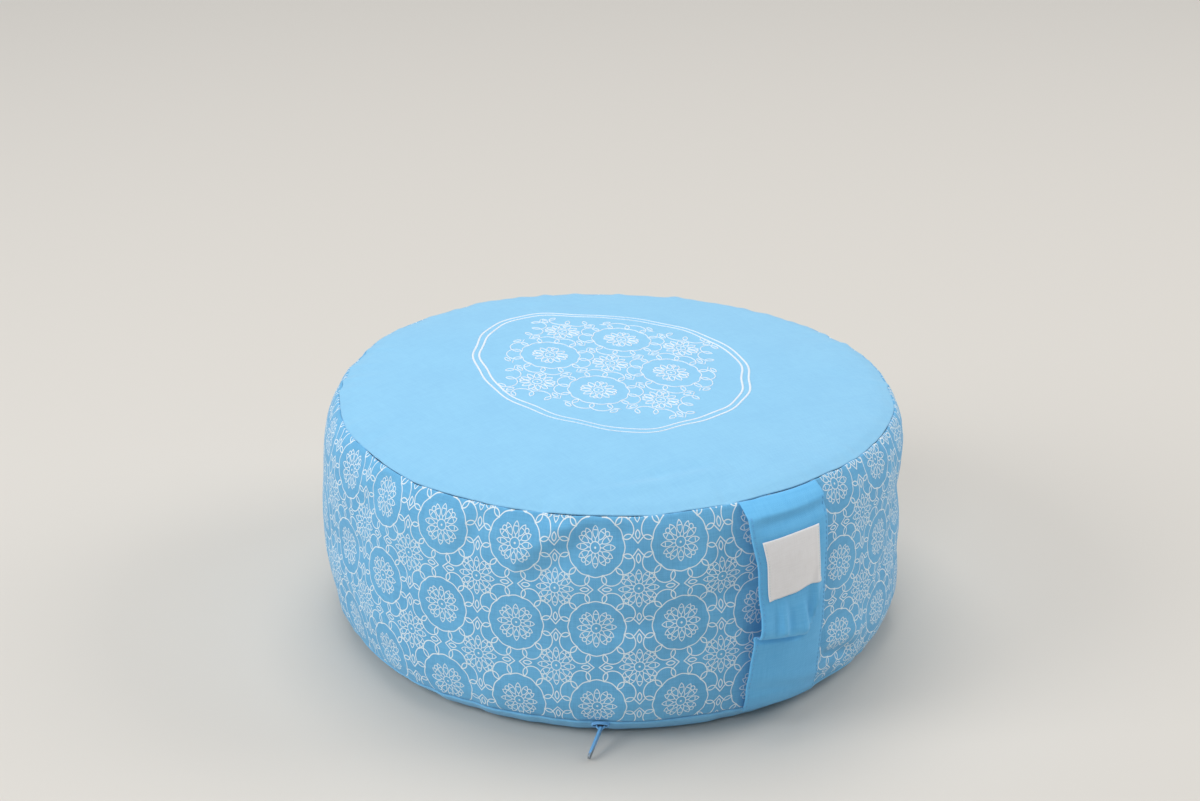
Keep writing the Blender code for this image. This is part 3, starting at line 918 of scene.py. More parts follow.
@dataclass
class TopPanel:
    """The plain crowned top, cut as a disc and sewn in all round.

    The rim's radius and the turned-in edge, as steps out and down, are in mm.
    """

    form: CushionForm
    turns: int = 480
    thickness: float = 1.5 * MM
    rim: float = 164.9
    rim_thickness: float = 1.0 * MM
    turned_in: tuple[Span, ...] = ((0.15, 0.2), (0.2, 0.5), (0.05, 0.8), (-0.6, 1.0))
    cut: float = 356 * MM
    outer_rows: int = 0

    def build(self) -> Piece:
        """Lay the sheet over the crown, rolled down into the seam at its edge."""
        azimuth = azimuths(self.turns)
        radii = np.concatenate([np.linspace(0, 120, 25), np.linspace(123, 157, 16),
                                np.linspace(158.5, self.rim, 9)]) * MM
        outer = self.form.crown_point(azimuth, radii[:, None])
        edge = self.form.crown_point(azimuth, np.array([[self.rim * MM]]))
        turns = [edge + around(azimuth, out * MM, -down * MM) for out, down in self.turned_in]
        thin = smooth(radii, 158 * MM, self.rim * MM)
        thick = self.thickness + (self.rim_thickness - self.thickness) * thin
        under = (outer - np.array([0, 0, 1.0]) * thick[:, None, None])[-2::-1]
        points = np.concatenate([outer] + turns + [under], 0)
        self.outer_rows = len(radii) + len(turns)
        maps = {
            "Cloth": lambda spots: self.flat_map(spots, points),
            "OFBake": lambda spots: self.bake_map(spots, points),
        }
        piece = grid_piece("top_panel_cloth", points, maps)
        piece.data.uv_layers.active = piece.data.uv_layers["Cloth"]
        return piece

    def flat_map(self, spots: Corners, points: Array) -> Array:
        """Metres across the cloth, seen from above."""
        return points[spots.row, spots.column % self.turns, :2]

    def bake_map(self, spots: Corners, points: Array) -> Array:
        """The top face over the whole square, and the underside small in one corner.

        Args:
            spots: The faces' corners.
            points: The sheet's grid of points.

        Returns:
            The map's coordinates at the corners.
        """
        flat = self.flat_map(spots, points)
        under = spots.face_row >= self.outer_rows
        placed = flat / 0.35 + 0.5
        placed[under] = flat[under] / 2.6 + 0.072
        return placed


@dataclass
class BottomPanel:
    """The plain base that the cushion stands on, curving up to the lower seam.

    Its radii are in mm.
    """

    form: CushionForm
    turns: int = 360
    thickness: float = 1.6 * MM
    radii: tuple[float, ...] = (
        166.9, 166.3, 165.4, 164.3, 163, 161.4, 159.6, 157.4, 155, 152, 148.6, 145, 141, 120, 80, 0,
    )
    fold: Swell = Swell(-11, 6.2, 16, 1.2, -1.3)
    slack: Wave = Wave(19, 1, 0.125)
    cut: float = 352 * MM

    def build(self) -> Piece:
        """Lay the sheet under the filling, with the soft fold beside the zip."""
        azimuth = azimuths(self.turns)
        radii = np.array(self.radii) * MM
        line = np.stack([radii, self.form.base_height(radii)], -1)
        inner = offset_inward(line, self.thickness)
        inner[-1, 0] = 0
        rim = (line[:1] + inner[:1]) / 2 + np.array([0.2, 0.5]) * MM
        profile = np.concatenate([inner[::-1], rim, line], 0)
        points = self.form.placed(azimuth, profile[:, 0:1], profile[:, 1:2])
        level, fold = points[..., 2], self.fold
        moved = fold.outward * MM * bump(turned(azimuth, fold.azimuth), 0, fold.azimuth_spread)
        moved = moved * bump(level, fold.height * MM, fold.height_spread * MM)
        moved = moved + waves(azimuth, [self.slack]) * smooth(level, 1 * MM, 5 * MM)
        moved = moved * smooth(profile[:, 0:1], 145 * MM, 158 * MM)
        points = points + around(azimuth, moved, 0.0)
        points[..., 2] = np.maximum(points[..., 2], 0)
        maps = {"Cloth": lambda spots: points[spots.row, spots.column % self.turns, :2]}
        return grid_piece("bottom_panel_cloth", points, maps)


# The strap, its label and their sewing.

class StrapRow(NamedTuple):
    """The strap's edges in degrees at a height in mm, and how far it stands off in mm."""

    height: float
    left: float
    right: float
    gap_left: float
    gap_middle: float
    gap_right: float


STRAP_ROWS = (
    StrapRow(139.9, -11.2, 7.1, -0.6, -0.6, -0.6),
    StrapRow(137.4, -11.1, 6.9, 2.9, 3.0, 2.6),
    StrapRow(134.0, -11.0, 6.6, 5.3, 5.5, 4.8),
    StrapRow(127.0, -10.9, 6.1, 6.5, 6.8, 6.0),
    StrapRow(120.0, -10.6, 5.7, 6.9, 7.4, 6.5),
    StrapRow(107.0, -9.8, 5.4, 8.2, 8.6, 6.9),
    StrapRow(93.0, -9.6, 5.5, 9.0, 9.4, 6.9),
    StrapRow(78.0, -9.4, 5.5, 9.0, 9.3, 6.9),
    StrapRow(68.0, -9.8, 5.5, 8.3, 8.5, 6.8),
    StrapRow(62.0, -9.8, 5.4, 7.6, 7.9, 6.6),
    StrapRow(51.0, -10.0, 5.4, 6.6, 6.8, 5.4),
    StrapRow(36.0, -10.4, 5.7, 5.8, 5.8, 4.4),
    StrapRow(24.0, -10.2, 6.2, 4.6, 4.6, 3.6),
    StrapRow(16.5, -9.8, 6.9, 2.6, 2.6, 2.2),
    StrapRow(11.6, -9.3, 7.8, 0.6, 0.6, 0.6),
)


@dataclass
class CarryStrap:
    """A doubled cotton strap, sewn into the top seam and the lower seam and slack between.

    The overhang and the stitches are in mm, but their inset is a share of the width.
    """

    form: CushionForm
    thickness: float = 1.8 * MM
    width: float = 50 * MM
    length: float = 140 * MM
    sewn_in: float = 15 * MM
    fold_radius: float = 1.1 * MM
    rows: int = 170
    overhang: float = 4.0
    overhang_level: float = 65.5
    overhang_slant: float = -6.6
    overhang_rise: float = 26.0
    stitch: float = 2.4
    stitch_pitch: float = 3.0
    stitch_inset: float = 0.034
    stitch_ends: Span = (135.2, 14.0)

    def row_values(self, height: Array) -> Array:
        """The strap's edges and stand-off at heights, read smoothly between the rows.

        Args:
            height: Heights in mm, falling or not.

        Returns:
            The values of StrapRow after its height, along a new last axis.
        """
        table = np.array(STRAP_ROWS)
        slope = np.gradient(table, axis=0, edge_order=1)
        slope[0], slope[-1] = (table[1] - table[0]) / 2, (table[-1] - table[-2]) / 2
        index = np.clip(np.searchsorted(-table[:, 0], -np.asarray(height)) - 1, 0, len(table) - 2)
        upper, lower = table[index], table[index + 1]
        t = ((height - upper[..., 0]) / (lower[..., 0] - upper[..., 0]))[..., None]
        eased = 3 * t ** 2 - 2 * t ** 3
        values = (1 - eased) * upper + (t ** 3 - 2 * t ** 2 + t) * slope[index]
        values += eased * lower + (t ** 3 - t ** 2) * slope[index + 1]
        return values[..., 1:]

    def creases(self, across: Array, height: Array) -> Array:
        """How far the overhang, the valley and the soft upright creases move the cloth, in mm.

        Args:
            across: Shares of the width, 0 at the left edge.
            height: Heights in mm.

        Returns:
            The distances outward.
        """
        edge = self.overhang_level + self.overhang_slant * across
        over_edge = height - edge - self.overhang_rise * smooth(across, 0.6, 0.95)
        reach = self.overhang * (1 - smooth(across, 0.6, 0.97))
        over = smooth(over_edge, -0.7, 0.8) * (1 - smooth(over_edge, 6, 26))
        over = reach * (over + 0.5 * bump(over_edge, 4, 4.5) - 0.45 * bump(over_edge, -2.2, 2.0))
        upright = 1.4 * np.sin(across * 24 + 0.9) + 0.7 * np.sin(across * 41 + 2.0)
        upright = upright * smooth(over_edge, 0, 5) * (1 - smooth(over_edge, 10, 26))
        upright = upright * smooth(across, 0.04, 0.16) * (1 - smooth(across, 0.75, 0.95))
        valley = -1.9 * bump(height, 128.8 + 2.5 * across, 3.4) * smooth(across, 0.02, 0.2)
        swell = 0.9 * bump(height, 134.0, 3.0) + 0.35 * np.sin(height / 9.0 + across * 2.2)
        slack = 0.5 * bump(height, 40 - 14 * across, 5) - 0.55 * bump(height, 30 - 8 * across, 4)
        ends = smooth(height, 12, 20) * (1 - smooth(height, 134, 138))
        return (over + upright + valley + swell + slack) * ends

    def point(self, across: Array, height: Array, lift: Array) -> Array:
        """Points over the strap's inner face.

        Args:
            across: Shares of the width, 0 at the strap's left edge and 1 at its right.
            height: Heights in mm in the turned profile.
            lift: How far over the inner face.

        Returns:
            The points, as an array of x, y, z.
        """
        across, height = np.broadcast_arrays(across, height)
        row = self.row_values(height)
        azimuth = row[..., 0] + (row[..., 1] - row[..., 0]) * across
        gap = (1 - across) * (1 - 2 * across) * row[..., 2]
        gap = gap + 4 * across * (1 - across) * row[..., 3]
        gap = gap + across * (2 * across - 1) * row[..., 4] + self.creases(across, height)
        level = height * MM
        radius = self.form.band_radius(level) + self.form.side_depth(azimuth, level)
        radius = radius + gap * MM + lift
        return around(azimuth, radius, level + self.form.lean(azimuth, radius, level))

    def build(self) -> Piece:
        """Loft the doubled cloth with rounded folded edges and the dents of its stitching."""
        inside = np.array([0.0, 0.005, 0.013, 0.025, 0.04])
        across = np.concatenate([inside, np.linspace(0.06, 0.94, 27), 1 - inside[::-1]])[None]
        heights = np.linspace(STRAP_ROWS[0].height, STRAP_ROWS[-1].height, self.rows)[:, None]
        edge = np.minimum(across, 1 - across) * self.width
        rounded = 1 - (1 - np.clip(edge / self.fold_radius, 0, 1)) ** 2
        dent = 0.22 * MM * bump(edge, self.stitch_inset * self.width, 0.7 * MM)
        along = (STRAP_ROWS[0].height - heights) / self.stitch_pitch
        held = dent * (0.65 + 0.35 * np.cos(TURN * along))
        full = self.thickness * np.sqrt(np.clip(rounded, 0.02, 1)) - held
        low = (self.thickness - full - held) / 2
        points = closed_sheet(
            self.point(across, heights, low + full), self.point(across, heights, low)
        )
        cloth = folded_map(across[0], self.width, self.length, self.rows)
        return grid_piece("carry_strap", points, {"Cloth": cloth})

    def sew(self, name: str, runs: Iterable[tuple[Array, Array, Array]], thread: float) -> Piece:
        """Sew round thread over the strap.

        Args:
            name: The piece's name.
            runs: For each stitch, its points' shares across, heights in mm and lifts.
            thread: Half of the thread's width.

        Returns:
            The new object.
        """
        paths, ups = [], []
        for across, heights, lift in runs:
            row = self.row_values(heights)
            paths.append(self.point(across, heights, lift))
            ups.append(around(row[:, 0] + (row[:, 1] - row[:, 0]) * across, 1.0, 0.0))
        return swept(name, paths, ups, Section.ROUND, thread, thread, [False] * len(paths))

    def stitches(self) -> Piece:
        """The topstitching a few millimetres inside both long edges."""
        lift = self.thickness - 0.05 * MM - 0.12 * MM * np.array([1.6, 0.2, 0, 0.2, 1.6])
        runs = []
        for across in (self.stitch_inset, 1 - self.stitch_inset):
            for high in np.arange(*self.stitch_ends, -self.stitch_pitch):
                heights = high - np.linspace(0, self.stitch, 5)
                runs.append((np.full(5, across), heights, lift))
        return self.sew("strap_stitches", runs, 0.24 * MM)


@dataclass
class WovenLabel:
    """The bare woven label sewn to the strap by its two folded side hems.

    Its top, bottom and rise are heights in mm; its sides are shares of the strap's width, at
    the top and at the bottom.
    """

    strap: CarryStrap
    thickness: float = 0.55 * MM
    stand: float = 0.35 * MM
    top: float = 121.9
    bottom: float = 86.5
    rise: Span = (1.5, 4.0)
    left: Span = (0.103, 0.109)
    right: Span = (0.832, 0.847)
    width: float = 39 * MM
    length: float = 37 * MM
    rows: int = 37
    thread_inset: float = 0.028

    def place(self, share: Array, down: Array) -> tuple[Array, Array]:
        """Where the label's point is on the strap.

        Args:
            share: Across the label, from 0 to 1.
            down: Down the label, from 0 to 1.

        Returns:
            The share across the strap, and the height in mm.
        """
        left = self.left[0] + (self.left[1] - self.left[0]) * down
        right = self.right[0] + (self.right[1] - self.right[0]) * down
        across = left + (right - left) * share
        wavy = 0.3 * np.sin(share * 9 + 0.6) + 0.12 * np.sin(share * 17 + 2)
        rise = self.rise[0] + (self.rise[1] - self.rise[0]) * down
        height = self.top + (self.bottom - self.top) * down + rise * share
        height = height + wavy * smooth(down, 0.85, 1.0)
        height = height - 0.3 * np.sin(share * 5 + 1) * (1 - smooth(down, 0.0, 0.12))
        return across + 0.004 * np.sin(down * 7) * (1 - 2 * share), height

    def lift(self, share: Array, down: Array) -> Array:
        """How high the label's underside lies over the strap's inner face."""
        soft = ripples(share, down, LABEL_SOFTNESS)
        corner = 0.5 * smooth(np.abs(share - 0.5), 0.40, 0.5) * smooth(down, 0.88, 1.0)
        return self.strap.thickness + self.stand + (0.15 + 0.5 * soft + corner) * MM

    def build(self) -> Piece:
        """Loft the label, thicker where its sides are folded under."""
        hem_columns = np.array([0, 0.012, 0.03, 0.06, 0.082, 0.10])
        middle_columns = np.linspace(0.14, 0.86, 19)
        share = np.concatenate([hem_columns, middle_columns, 1 - hem_columns[::-1]])[None]
        down = np.linspace(0, 1, self.rows)[:, None]
        side = np.minimum(share, 1 - share)
        hem = 1 - smooth(side, 0.07, 0.095)
        dent = bump(side, self.thread_inset, 0.012) * 0.5
        thick = self.thickness * (0.55 + 0.45 * hem - 0.3 * dent)
        thick = thick * (0.45 + 0.55 * smooth(side, 0, 0.015))
        thick = thick * (0.75 + 0.25 * smooth(np.minimum(down, 1 - down), 0, 0.02))
        across, height = self.place(share, down)
        low = self.lift(share, down)
        points = closed_sheet(
            self.strap.point(across, height, low + thick), self.strap.point(across, height, low)
        )
        cloth = folded_map(share[0], self.width, self.length, self.rows + 1)
        return grid_piece("bare_label", points, {"Cloth": cloth})

    def stitches(self) -> Piece:
        """The fine stitching down both of the label's hems."""
        sunk = -0.1 * MM * np.array([2, 0.3, 0, 0.3, 2])
        runs = []
        for share in (self.thread_inset, 1 - self.thread_inset):
            for start in np.arange(0.02, 0.97, 0.046):
                down = start + np.linspace(0, 0.032, 5)
                part = np.full(5, share)
                lift = self.lift(part, down) + self.thickness * 0.92 + sunk
                runs.append((*self.place(part, down), lift))
        return self.strap.sew("label_stitches", runs, 0.15 * MM)


# The repeat of rosettes, and the roundel sewn in it.

@dataclass(frozen=True)
class RosetteChart:
    """The repeat of ringed and open rosettes; lengths are shares of one repeat.

    A ringed rosette is in the middle of each square repeat and an open one at its corners.
    """

    eye: float = 0.062
    dot: float = 0.008
    petal: Triple = (0.094, 0.234, 0.033)
    crossing: Span = (0.183, 0.021)
    bead: Span = (0.206, 0.026)
    ring: float = 0.349
    ring_dent: float = 0.016
    link: Triple = (0.341, 0.450, 0.026)
    scallop: Span = (0.371, 0.134)
    scallop_reach: float = 0.43
    arm: tuple[Span, Span] = ((0.5, 0.03), (0.441, 0.1))
    bud: Triple = (0.080, 0.186, 0.025)
    petals: int = 12

    @staticmethod
    def lens(near: float, far: float, half_width: float) -> Triple:
        """The circle of a pointed lens's side.

        Args:
            near: Where the lens starts along its axis.
            far: Where it ends.
            half_width: Half of its width.

        Returns:
            The circle's centre along the axis, how far it is beyond the axis, and its radius.
        """
        half = (far - near) / 2
        beyond = (half * half - half_width * half_width) / (2 * half_width)
        return (near + far) / 2, beyond, beyond + half_width


class Line(NamedTuple):
    """One drawn line of the roundel and whether it returns to its start."""

    points: Array
    closed: bool


@dataclass
class Roundel:
    """The embroidered roundel: a patch of the same rosettes inside a double wavy ring.

    The repeat, both centres, the ring's axes and its gap are in mm, as seen from the
    photographed side, which is turned by view_turn degrees.
    """

    form: CushionForm
    chart: RosetteChart = field(default_factory=RosetteChart)
    repeat: tuple[Span, ...] = ((43.6, 25.9), (-29.8, 52.4))
    centre: Span = (-2.9, 18.6)
    ring_centre: Span = (-2.9, 16.5)
    ring_axes: tuple[Span, ...] = ((55.3, -80.9), (63.7, 43.5))
    ring_waves: tuple[Wave, ...] = (
        Wave(3, -2.38, 2.7), Wave(4, 1.95, 0.9), Wave(5, -1.65, 1.2), Wave(7, -1.08, 0.9),
        Wave(11, 0.7, 0.5), Wave(17, 1.9, 0.45),
    )
    ring_gap: float = 4.3
    patch_reach: float = 0.5
    flower: float = 0.88
    view_turn: float = -35.6
    thread: float = 0.36 * MM
    ring_thread: float = 0.68 * MM
    height: float = 0.38 * MM

    def petal_line(self, middle: Array, angle: float, size: Triple) -> Line:
        """A pointed lens that runs outward from a rosette's middle at an angle in radians.

        Args:
            middle: The rosette's middle.
            angle: Which way the lens runs.
            size: Where it starts and ends, and half of its width.

        Returns:
            Its line.
        """
        centre, beyond, radius = self.chart.lens(*size)
        along = np.linspace(size[0], size[1], 8)
        side = np.sqrt(np.clip(radius ** 2 - (along - centre) ** 2, 0, None)) - beyond
        x = np.concatenate([along, along[-2:0:-1]])
        y = np.concatenate([side, -side[-2:0:-1]])
        return Line(middle + np.stack([x, y], -1) @ self.spin(angle), True)

    @staticmethod
    def spin(angle: float) -> Array:
        """What turns rows of x, y by an angle in radians when they are multiplied by it."""
        return np.array([[np.cos(angle), np.sin(angle)], [-np.sin(angle), np.cos(angle)]])

    @staticmethod
    def facing(angle: Array) -> Array:
        """The directions at angles in radians, as rows of x, y."""
        return np.stack([np.cos(angle), np.sin(angle)], -1)

    def circle(self, middle: Array, radius: float, count: int) -> Line:
        """A plain circle of count points."""
        return Line(middle + radius * self.facing(TURN * np.arange(count) / count), True)

    def rosette(self, middle: Array) -> list[Line]:
        """The lines of one rosette about its middle, sewn a little smaller than printed.

        Args:
            middle: The middle.

        Returns:
            The lines.
        """
        chart = self.chart
        lines = [self.circle(middle, chart.eye, 18), self.circle(middle, chart.dot, 6)]
        for step in range(chart.petals):
            angle = TURN * step / chart.petals
            between = angle + np.pi / chart.petals
            lines.append(self.petal_line(middle, angle, chart.petal))
            if step % 3 == 1:
                place = middle + chart.bead[0] * self.facing(between)
                lines.append(self.circle(place, chart.bead[1], 10))
        return [Line(middle + (line.points - middle) * self.flower, line.closed)
                for line in lines]

    def cell(self, middle: Array) -> list[Line]:
        """The lines of one repeat about its ringed rosette, without its corners.

        Args:
            middle: The rosette's middle.

        Returns:
            The lines.
        """
        chart = self.chart
        lines = self.rosette(middle)
        angle = TURN * np.arange(96) / 96
        radius = chart.ring - chart.ring_dent * np.abs(np.sin(angle * chart.petals / 2)) ** 3
        lines.append(Line(middle + radius[:, None] * self.facing(angle), True))
        for step in range(chart.petals):
            between = np.pi * (2 * step + 1) / chart.petals
            lines.append(self.petal_line(middle, between, chart.link))
        for quarter in range(4):
            spin = self.spin(np.pi / 2 * quarter)
            for lean in (np.pi / 6, np.pi / 3):
                sweep = lean + np.radians(np.linspace(-69, 69, 13))
                arc = chart.scallop[0] * self.facing(lean) + chart.scallop[1] * self.facing(sweep)
                lines.append(Line(middle + arc @ spin, False))
            for side in (1, -1):
                arm = np.linspace(chart.arm[0], chart.arm[1], 4) * [1, side]
                lines.append(Line(middle + arm @ spin, False))
                bud = self.petal_line(np.zeros(2), np.pi / 2 * side, chart.bud)
                lines.append(Line(middle + (bud.points + [0.5, 0]) @ spin, True))
        return lines

    def patch(self) -> list[Line]:
        """All the lines of the patch in repeats, about its middle rosette."""
        lines = []
        for x in (-0.5, 0.5):
            for y in (-0.5, 0.5):
                lines += self.cell(np.array([x, y]))
        for x, y in ((0, 0), (1, 0), (-1, 0), (0, 1), (0, -1)):
            lines += self.rosette(np.array([x, y]))
        for corner in np.array([(1, 0), (-1, 0), (0, 1), (0, -1)]):
            for side in (0.5, -0.5):
                outer = self.cell(corner * 1.5 + corner[::-1] * side)
                far = [np.linalg.norm(line.points - corner, axis=1).max() for line in outer]
                lines += [line for line, reach in zip(outer, far) if reach < self.patch_reach]
        kept: dict[tuple[int, ...], Line] = {}
        for line in lines:
            middle = np.round(line.points.mean(0) * 200).astype(int)
            kept.setdefault((*middle.tolist(), len(line.points)), line)
        return list(kept.values())

    def on_cloth(self, flat: Array) -> Array:
        """Lay points, seen from the photographed side, on the top cloth."""
        return self.form.crown_under(*(flat @ self.spin(np.radians(self.view_turn))).T)

    def sew(self, name: str, lines: Sequence[Line], half_width: float | Array) -> Piece:
        """Sew lines of satin stitch on the top cloth.

        Args:
            name: The piece's name.
            lines: The lines, in mm as seen from the photographed side.
            half_width: Half of the thread's width, or that at each of a line's points.

        Returns:
            The new object.
        """
        paths = [self.on_cloth(line.points * MM) for line in lines]
        ups = [np.tile([0.0, 0.0, 1.0], (len(path), 1)) for path in paths]
        return swept(name, paths, ups, Section.SATIN, half_width, self.height,
                     [line.closed for line in lines])

    def build_patch(self) -> Piece:
        """The rosettes, turned and drawn a little longer one way, as the cloth was hooped."""
        lines = [Line(line.points @ np.array(self.repeat) + self.centre, line.closed)
                 for line in self.patch()]
        return self.sew("roundel_rosettes", lines, self.thread)

    def build_rings(self) -> Piece:
        """The double ring, as wavy as hand-guided satin stitch."""
        angle = TURN * np.arange(420) / 420
        wavy = waves(np.degrees(angle), self.ring_waves) / MM
        facing = self.facing(angle) @ np.array(self.ring_axes)
        size = np.linalg.norm(facing, axis=1)
        lines = []
        for inward in (0.0, self.ring_gap):
            share = 1 + (wavy - inward + 0.25 * np.sin(9 * angle + inward)) / size
            lines.append(Line(facing * share[:, None] + self.ring_centre, True))
        sideways = np.abs(facing[:, 0] - 0.2 * facing[:, 1]) / size
        return self.sew("roundel_rings", lines, self.ring_thread * (0.35 + 0.75 * sideways))


# The zip's slider.

@dataclass
class ZipSlider:
    """The slider at rest in the lower seam: an enamelled rim, painted shade in its mouth, and its
    bail.
    """

    azimuth: float = -37.5
    radius: float = 169.0 * MM
    level: float = 10.8 * MM
    tilt: float = 27.0
    length: float = 11 * MM
    height: float = 4.8 * MM
    rim: float = 0.55 * MM
    depth: float = 0.45 * MM
    waist: float = 0.05
    mouth_dome: float = 0.25 * MM
    span: float = 4.6 * MM
    rise: float = 2.8 * MM
    bail_foot: float = 0.2 * MM

    def stand(self) -> Matrix:
        """The slider's place: X along the seam, Z out of it."""
        turn = Matrix.Rotation(np.radians(self.azimuth), 4, "Z")
        tip = Matrix.Rotation(np.radians(90 + self.tilt), 4, "X")
        spot = around(self.azimuth, self.radius, self.level)
        return Matrix.Translation(Vector(spot.tolist())) @ turn @ tip

    def placed(self, points: Array) -> Array:
        """Bring points from the slider's own place into the cushion's."""
        stand = np.array(self.stand())
        return points @ stand[:3, :3].T + stand[:3, 3]

    def build(self) -> list[Piece]:
        """The enamelled parts and, within the rim, a plate of painted shade for the mouth."""
        angle = TURN * np.arange(40) / 40
        along, across, half = np.cos(angle), np.sin(angle), np.pi * np.arange(17) / 16
        _, side, out = np.array(self.stand())[:3, :3].T
        wide, tall = self.length / 2 - self.rim, self.height / 2 - self.rim
        waist = 1 - self.waist * np.cos(2 * angle)
        ovals = [np.stack([wide * along, tall * waist * across, np.full(40, depth)], -1)
                 for depth in (self.depth, -self.depth)]
        bail = np.stack([-np.cos(half) * self.span / 2, 0 * half,
                         np.sin(half) * self.rise + self.bail_foot], -1)
        paths = [self.placed(path) for path in (*ovals, bail)]
        ups = [np.tile(up, (len(path), 1)) for up, path in zip((out, out, side), paths)]
        shell = swept("slider_shell", paths, ups, Section.ROUND, self.rim, self.rim,
                      [True, True, False])
        steps = np.linspace(0, 1, 7)[:, None]
        oval = np.stack(np.broadcast_arrays(
            steps * wide * along, steps * tall * across, 0.0 * steps), -1)
        dome = 0.15 * MM + self.mouth_dome * (1 - steps ** 2)
        top = self.placed(oval + dome[..., None] * [0, 0, 1])
        low = self.placed(oval - [0, 0, 0.4 * MM])
        # The mouth plate is a dark sheet of painted shade where the opening lies in shadow.
        mouth = grid_piece("slider_mouth_shade", np.concatenate([top, low[::-1]], 0), {})
        return [shell, mouth]


# Finishes.

class Term:
    """A number that varies over the surface: the output of a shader node."""

    def __init__(self, wiring: "Wiring", socket: Socket) -> None:
        """Keep the tree's wiring and the node's output."""
        self.wiring, self.socket = wiring, socket

    def __add__(self, other: "Term | float") -> "Term":
        """The sum."""
        return self.wiring.math("ADD", self, other)

    def __sub__(self, other: "Term | float") -> "Term":
        """The difference."""
        return self.wiring.math("SUBTRACT", self, other)

    def __rsub__(self, other: float) -> "Term":
        """A plain number less this."""
        return self.wiring.math("SUBTRACT", other, self)

    def __mul__(self, other: "Term | float") -> "Term":
        """The product."""
        return self.wiring.math("MULTIPLY", self, other)

    def __truediv__(self, other: "Term | float") -> "Term":
        """The quotient."""
        return self.wiring.math("DIVIDE", self, other)

    def __abs__(self) -> "Term":
        """The size without its sign."""
        return self.wiring.math("ABSOLUTE", self)

    def least(self, other: "Term | float") -> "Term":
        """The smaller of the two."""
        return self.wiring.math("MINIMUM", self, other)

    def most(self, other: "Term | float") -> "Term":
        """The larger of the two."""
        return self.wiring.math("MAXIMUM", self, other)

    def above(self, other: "Term | float") -> "Term":
        """1 where this is above the other, else 0."""
        return self.wiring.math("GREATER_THAN", self, other)


Feed = Term | Socket | float | tuple[float, ...]


class Wiring:
    """Adds nodes to one shader tree and joins them."""

    def __init__(self, tree: Tree) -> None:
        """Keep the tree."""
        self.tree = tree

    def node(self, kind: str, **settings: object) -> bpy.types.Node:
        """Add a node of a kind, with its settings.

        Args:
            kind: The node's type.
            **settings: Its properties by name.

        Returns:
            The node.
        """
        made = self.tree.nodes.new(kind)
        for key, value in settings.items():
            setattr(made, key, value)
        return made

    def feed(self, socket: Socket, value: Feed) -> None:
        """Join a term to an input, or set the input to a plain value.

        Args:
            socket: The input.
            value: The term or value.
        """
        value = value.socket if isinstance(value, Term) else value
        if isinstance(value, bpy.types.NodeSocket):
            self.tree.links.new(value, socket)
        else:
            socket.default_value = value

    def math(self, operation: str, *values: Feed) -> Term:
        """Add one sum of the given operation.

        Args:
            operation: The math node's operation.
            *values: What it works on.

        Returns:
            The result.
        """
        made = self.node("ShaderNodeMath", operation=operation)
        for socket, value in zip(made.inputs, values):
            self.feed(socket, value)
        return Term(self, made.outputs[0])

    def spread(self, value: Feed, low: float, high: float, to_low: float, to_high: float) -> Term:
        """Carry a range over to another, smoothly and without going past it.

        Args:
            value: What is carried over.
            low: Where its range starts.
            high: Where its range ends.
            to_low: What low becomes.
            to_high: What high becomes.

        Returns:
            The result.
        """
        made = self.node("ShaderNodeMapRange", interpolation_type="SMOOTHSTEP")
        for socket, part in zip(made.inputs, (value, low, high, to_low, to_high)):
            self.feed(socket, part)
        return Term(self, made.outputs[0])

    def parts(self, vector: Feed) -> tuple[Term, Term, Term]:
        """A vector's x, y and z."""
        made = self.node("ShaderNodeSeparateXYZ")
        self.feed(made.inputs[0], vector)
        return tuple(Term(self, out) for out in made.outputs)

    def vector(self, x: Feed, y: Feed, z: Feed = 0.0) -> Term:
        """A vector from its parts.

        Args:
            x: Its x.
            y: Its y.
            z: Its z.

        Returns:
            The vector.
        """
        made = self.node("ShaderNodeCombineXYZ")
        for socket, value in zip(made.inputs, (x, y, z)):
            self.feed(socket, value)
        return Term(self, made.outputs[0])

    def noise(self, place: Feed, scale: float, detail: float = 2.0) -> Term:
        """Soft noise of about 0 to 1.

        Args:
            place: Where it is read.
            scale: How fine it is.
            detail: How many finer layers it has.

        Returns:
            The noise.
        """
        made = self.node("ShaderNodeTexNoise")
        self.feed(made.inputs["Vector"], place)
        made.inputs["Scale"].default_value = scale
        made.inputs["Detail"].default_value = detail
        return Term(self, made.outputs["Fac"])

    def colour(self, share: Feed, first: Feed, second: Feed) -> Socket:
        """Mix two colours.

        Args:
            share: How much of the second is in the mix.
            first: The first colour.
            second: The second colour.

        Returns:
            The mixed colour.
        """
        made = self.node("ShaderNodeMix", data_type="RGBA")
        for index, value in ((0, share), (6, first), (7, second)):
            if isinstance(value, tuple):
                value = (*value, 1.0)
            self.feed(made.inputs[index], value)
        return made.outputs[2]

    def placed(self, group: Tree, **values: Feed) -> dict[str, Term]:
        """Place a node group with its values.

        Args:
            group: The group.
            **values: What each named input is fed.

        Returns:
            The group's outputs by name.
        """
        made = self.node("ShaderNodeGroup", node_tree=group)
        for name, value in values.items():
            self.feed(made.inputs[name], value)
        return {out.name: Term(self, out) for out in made.outputs}


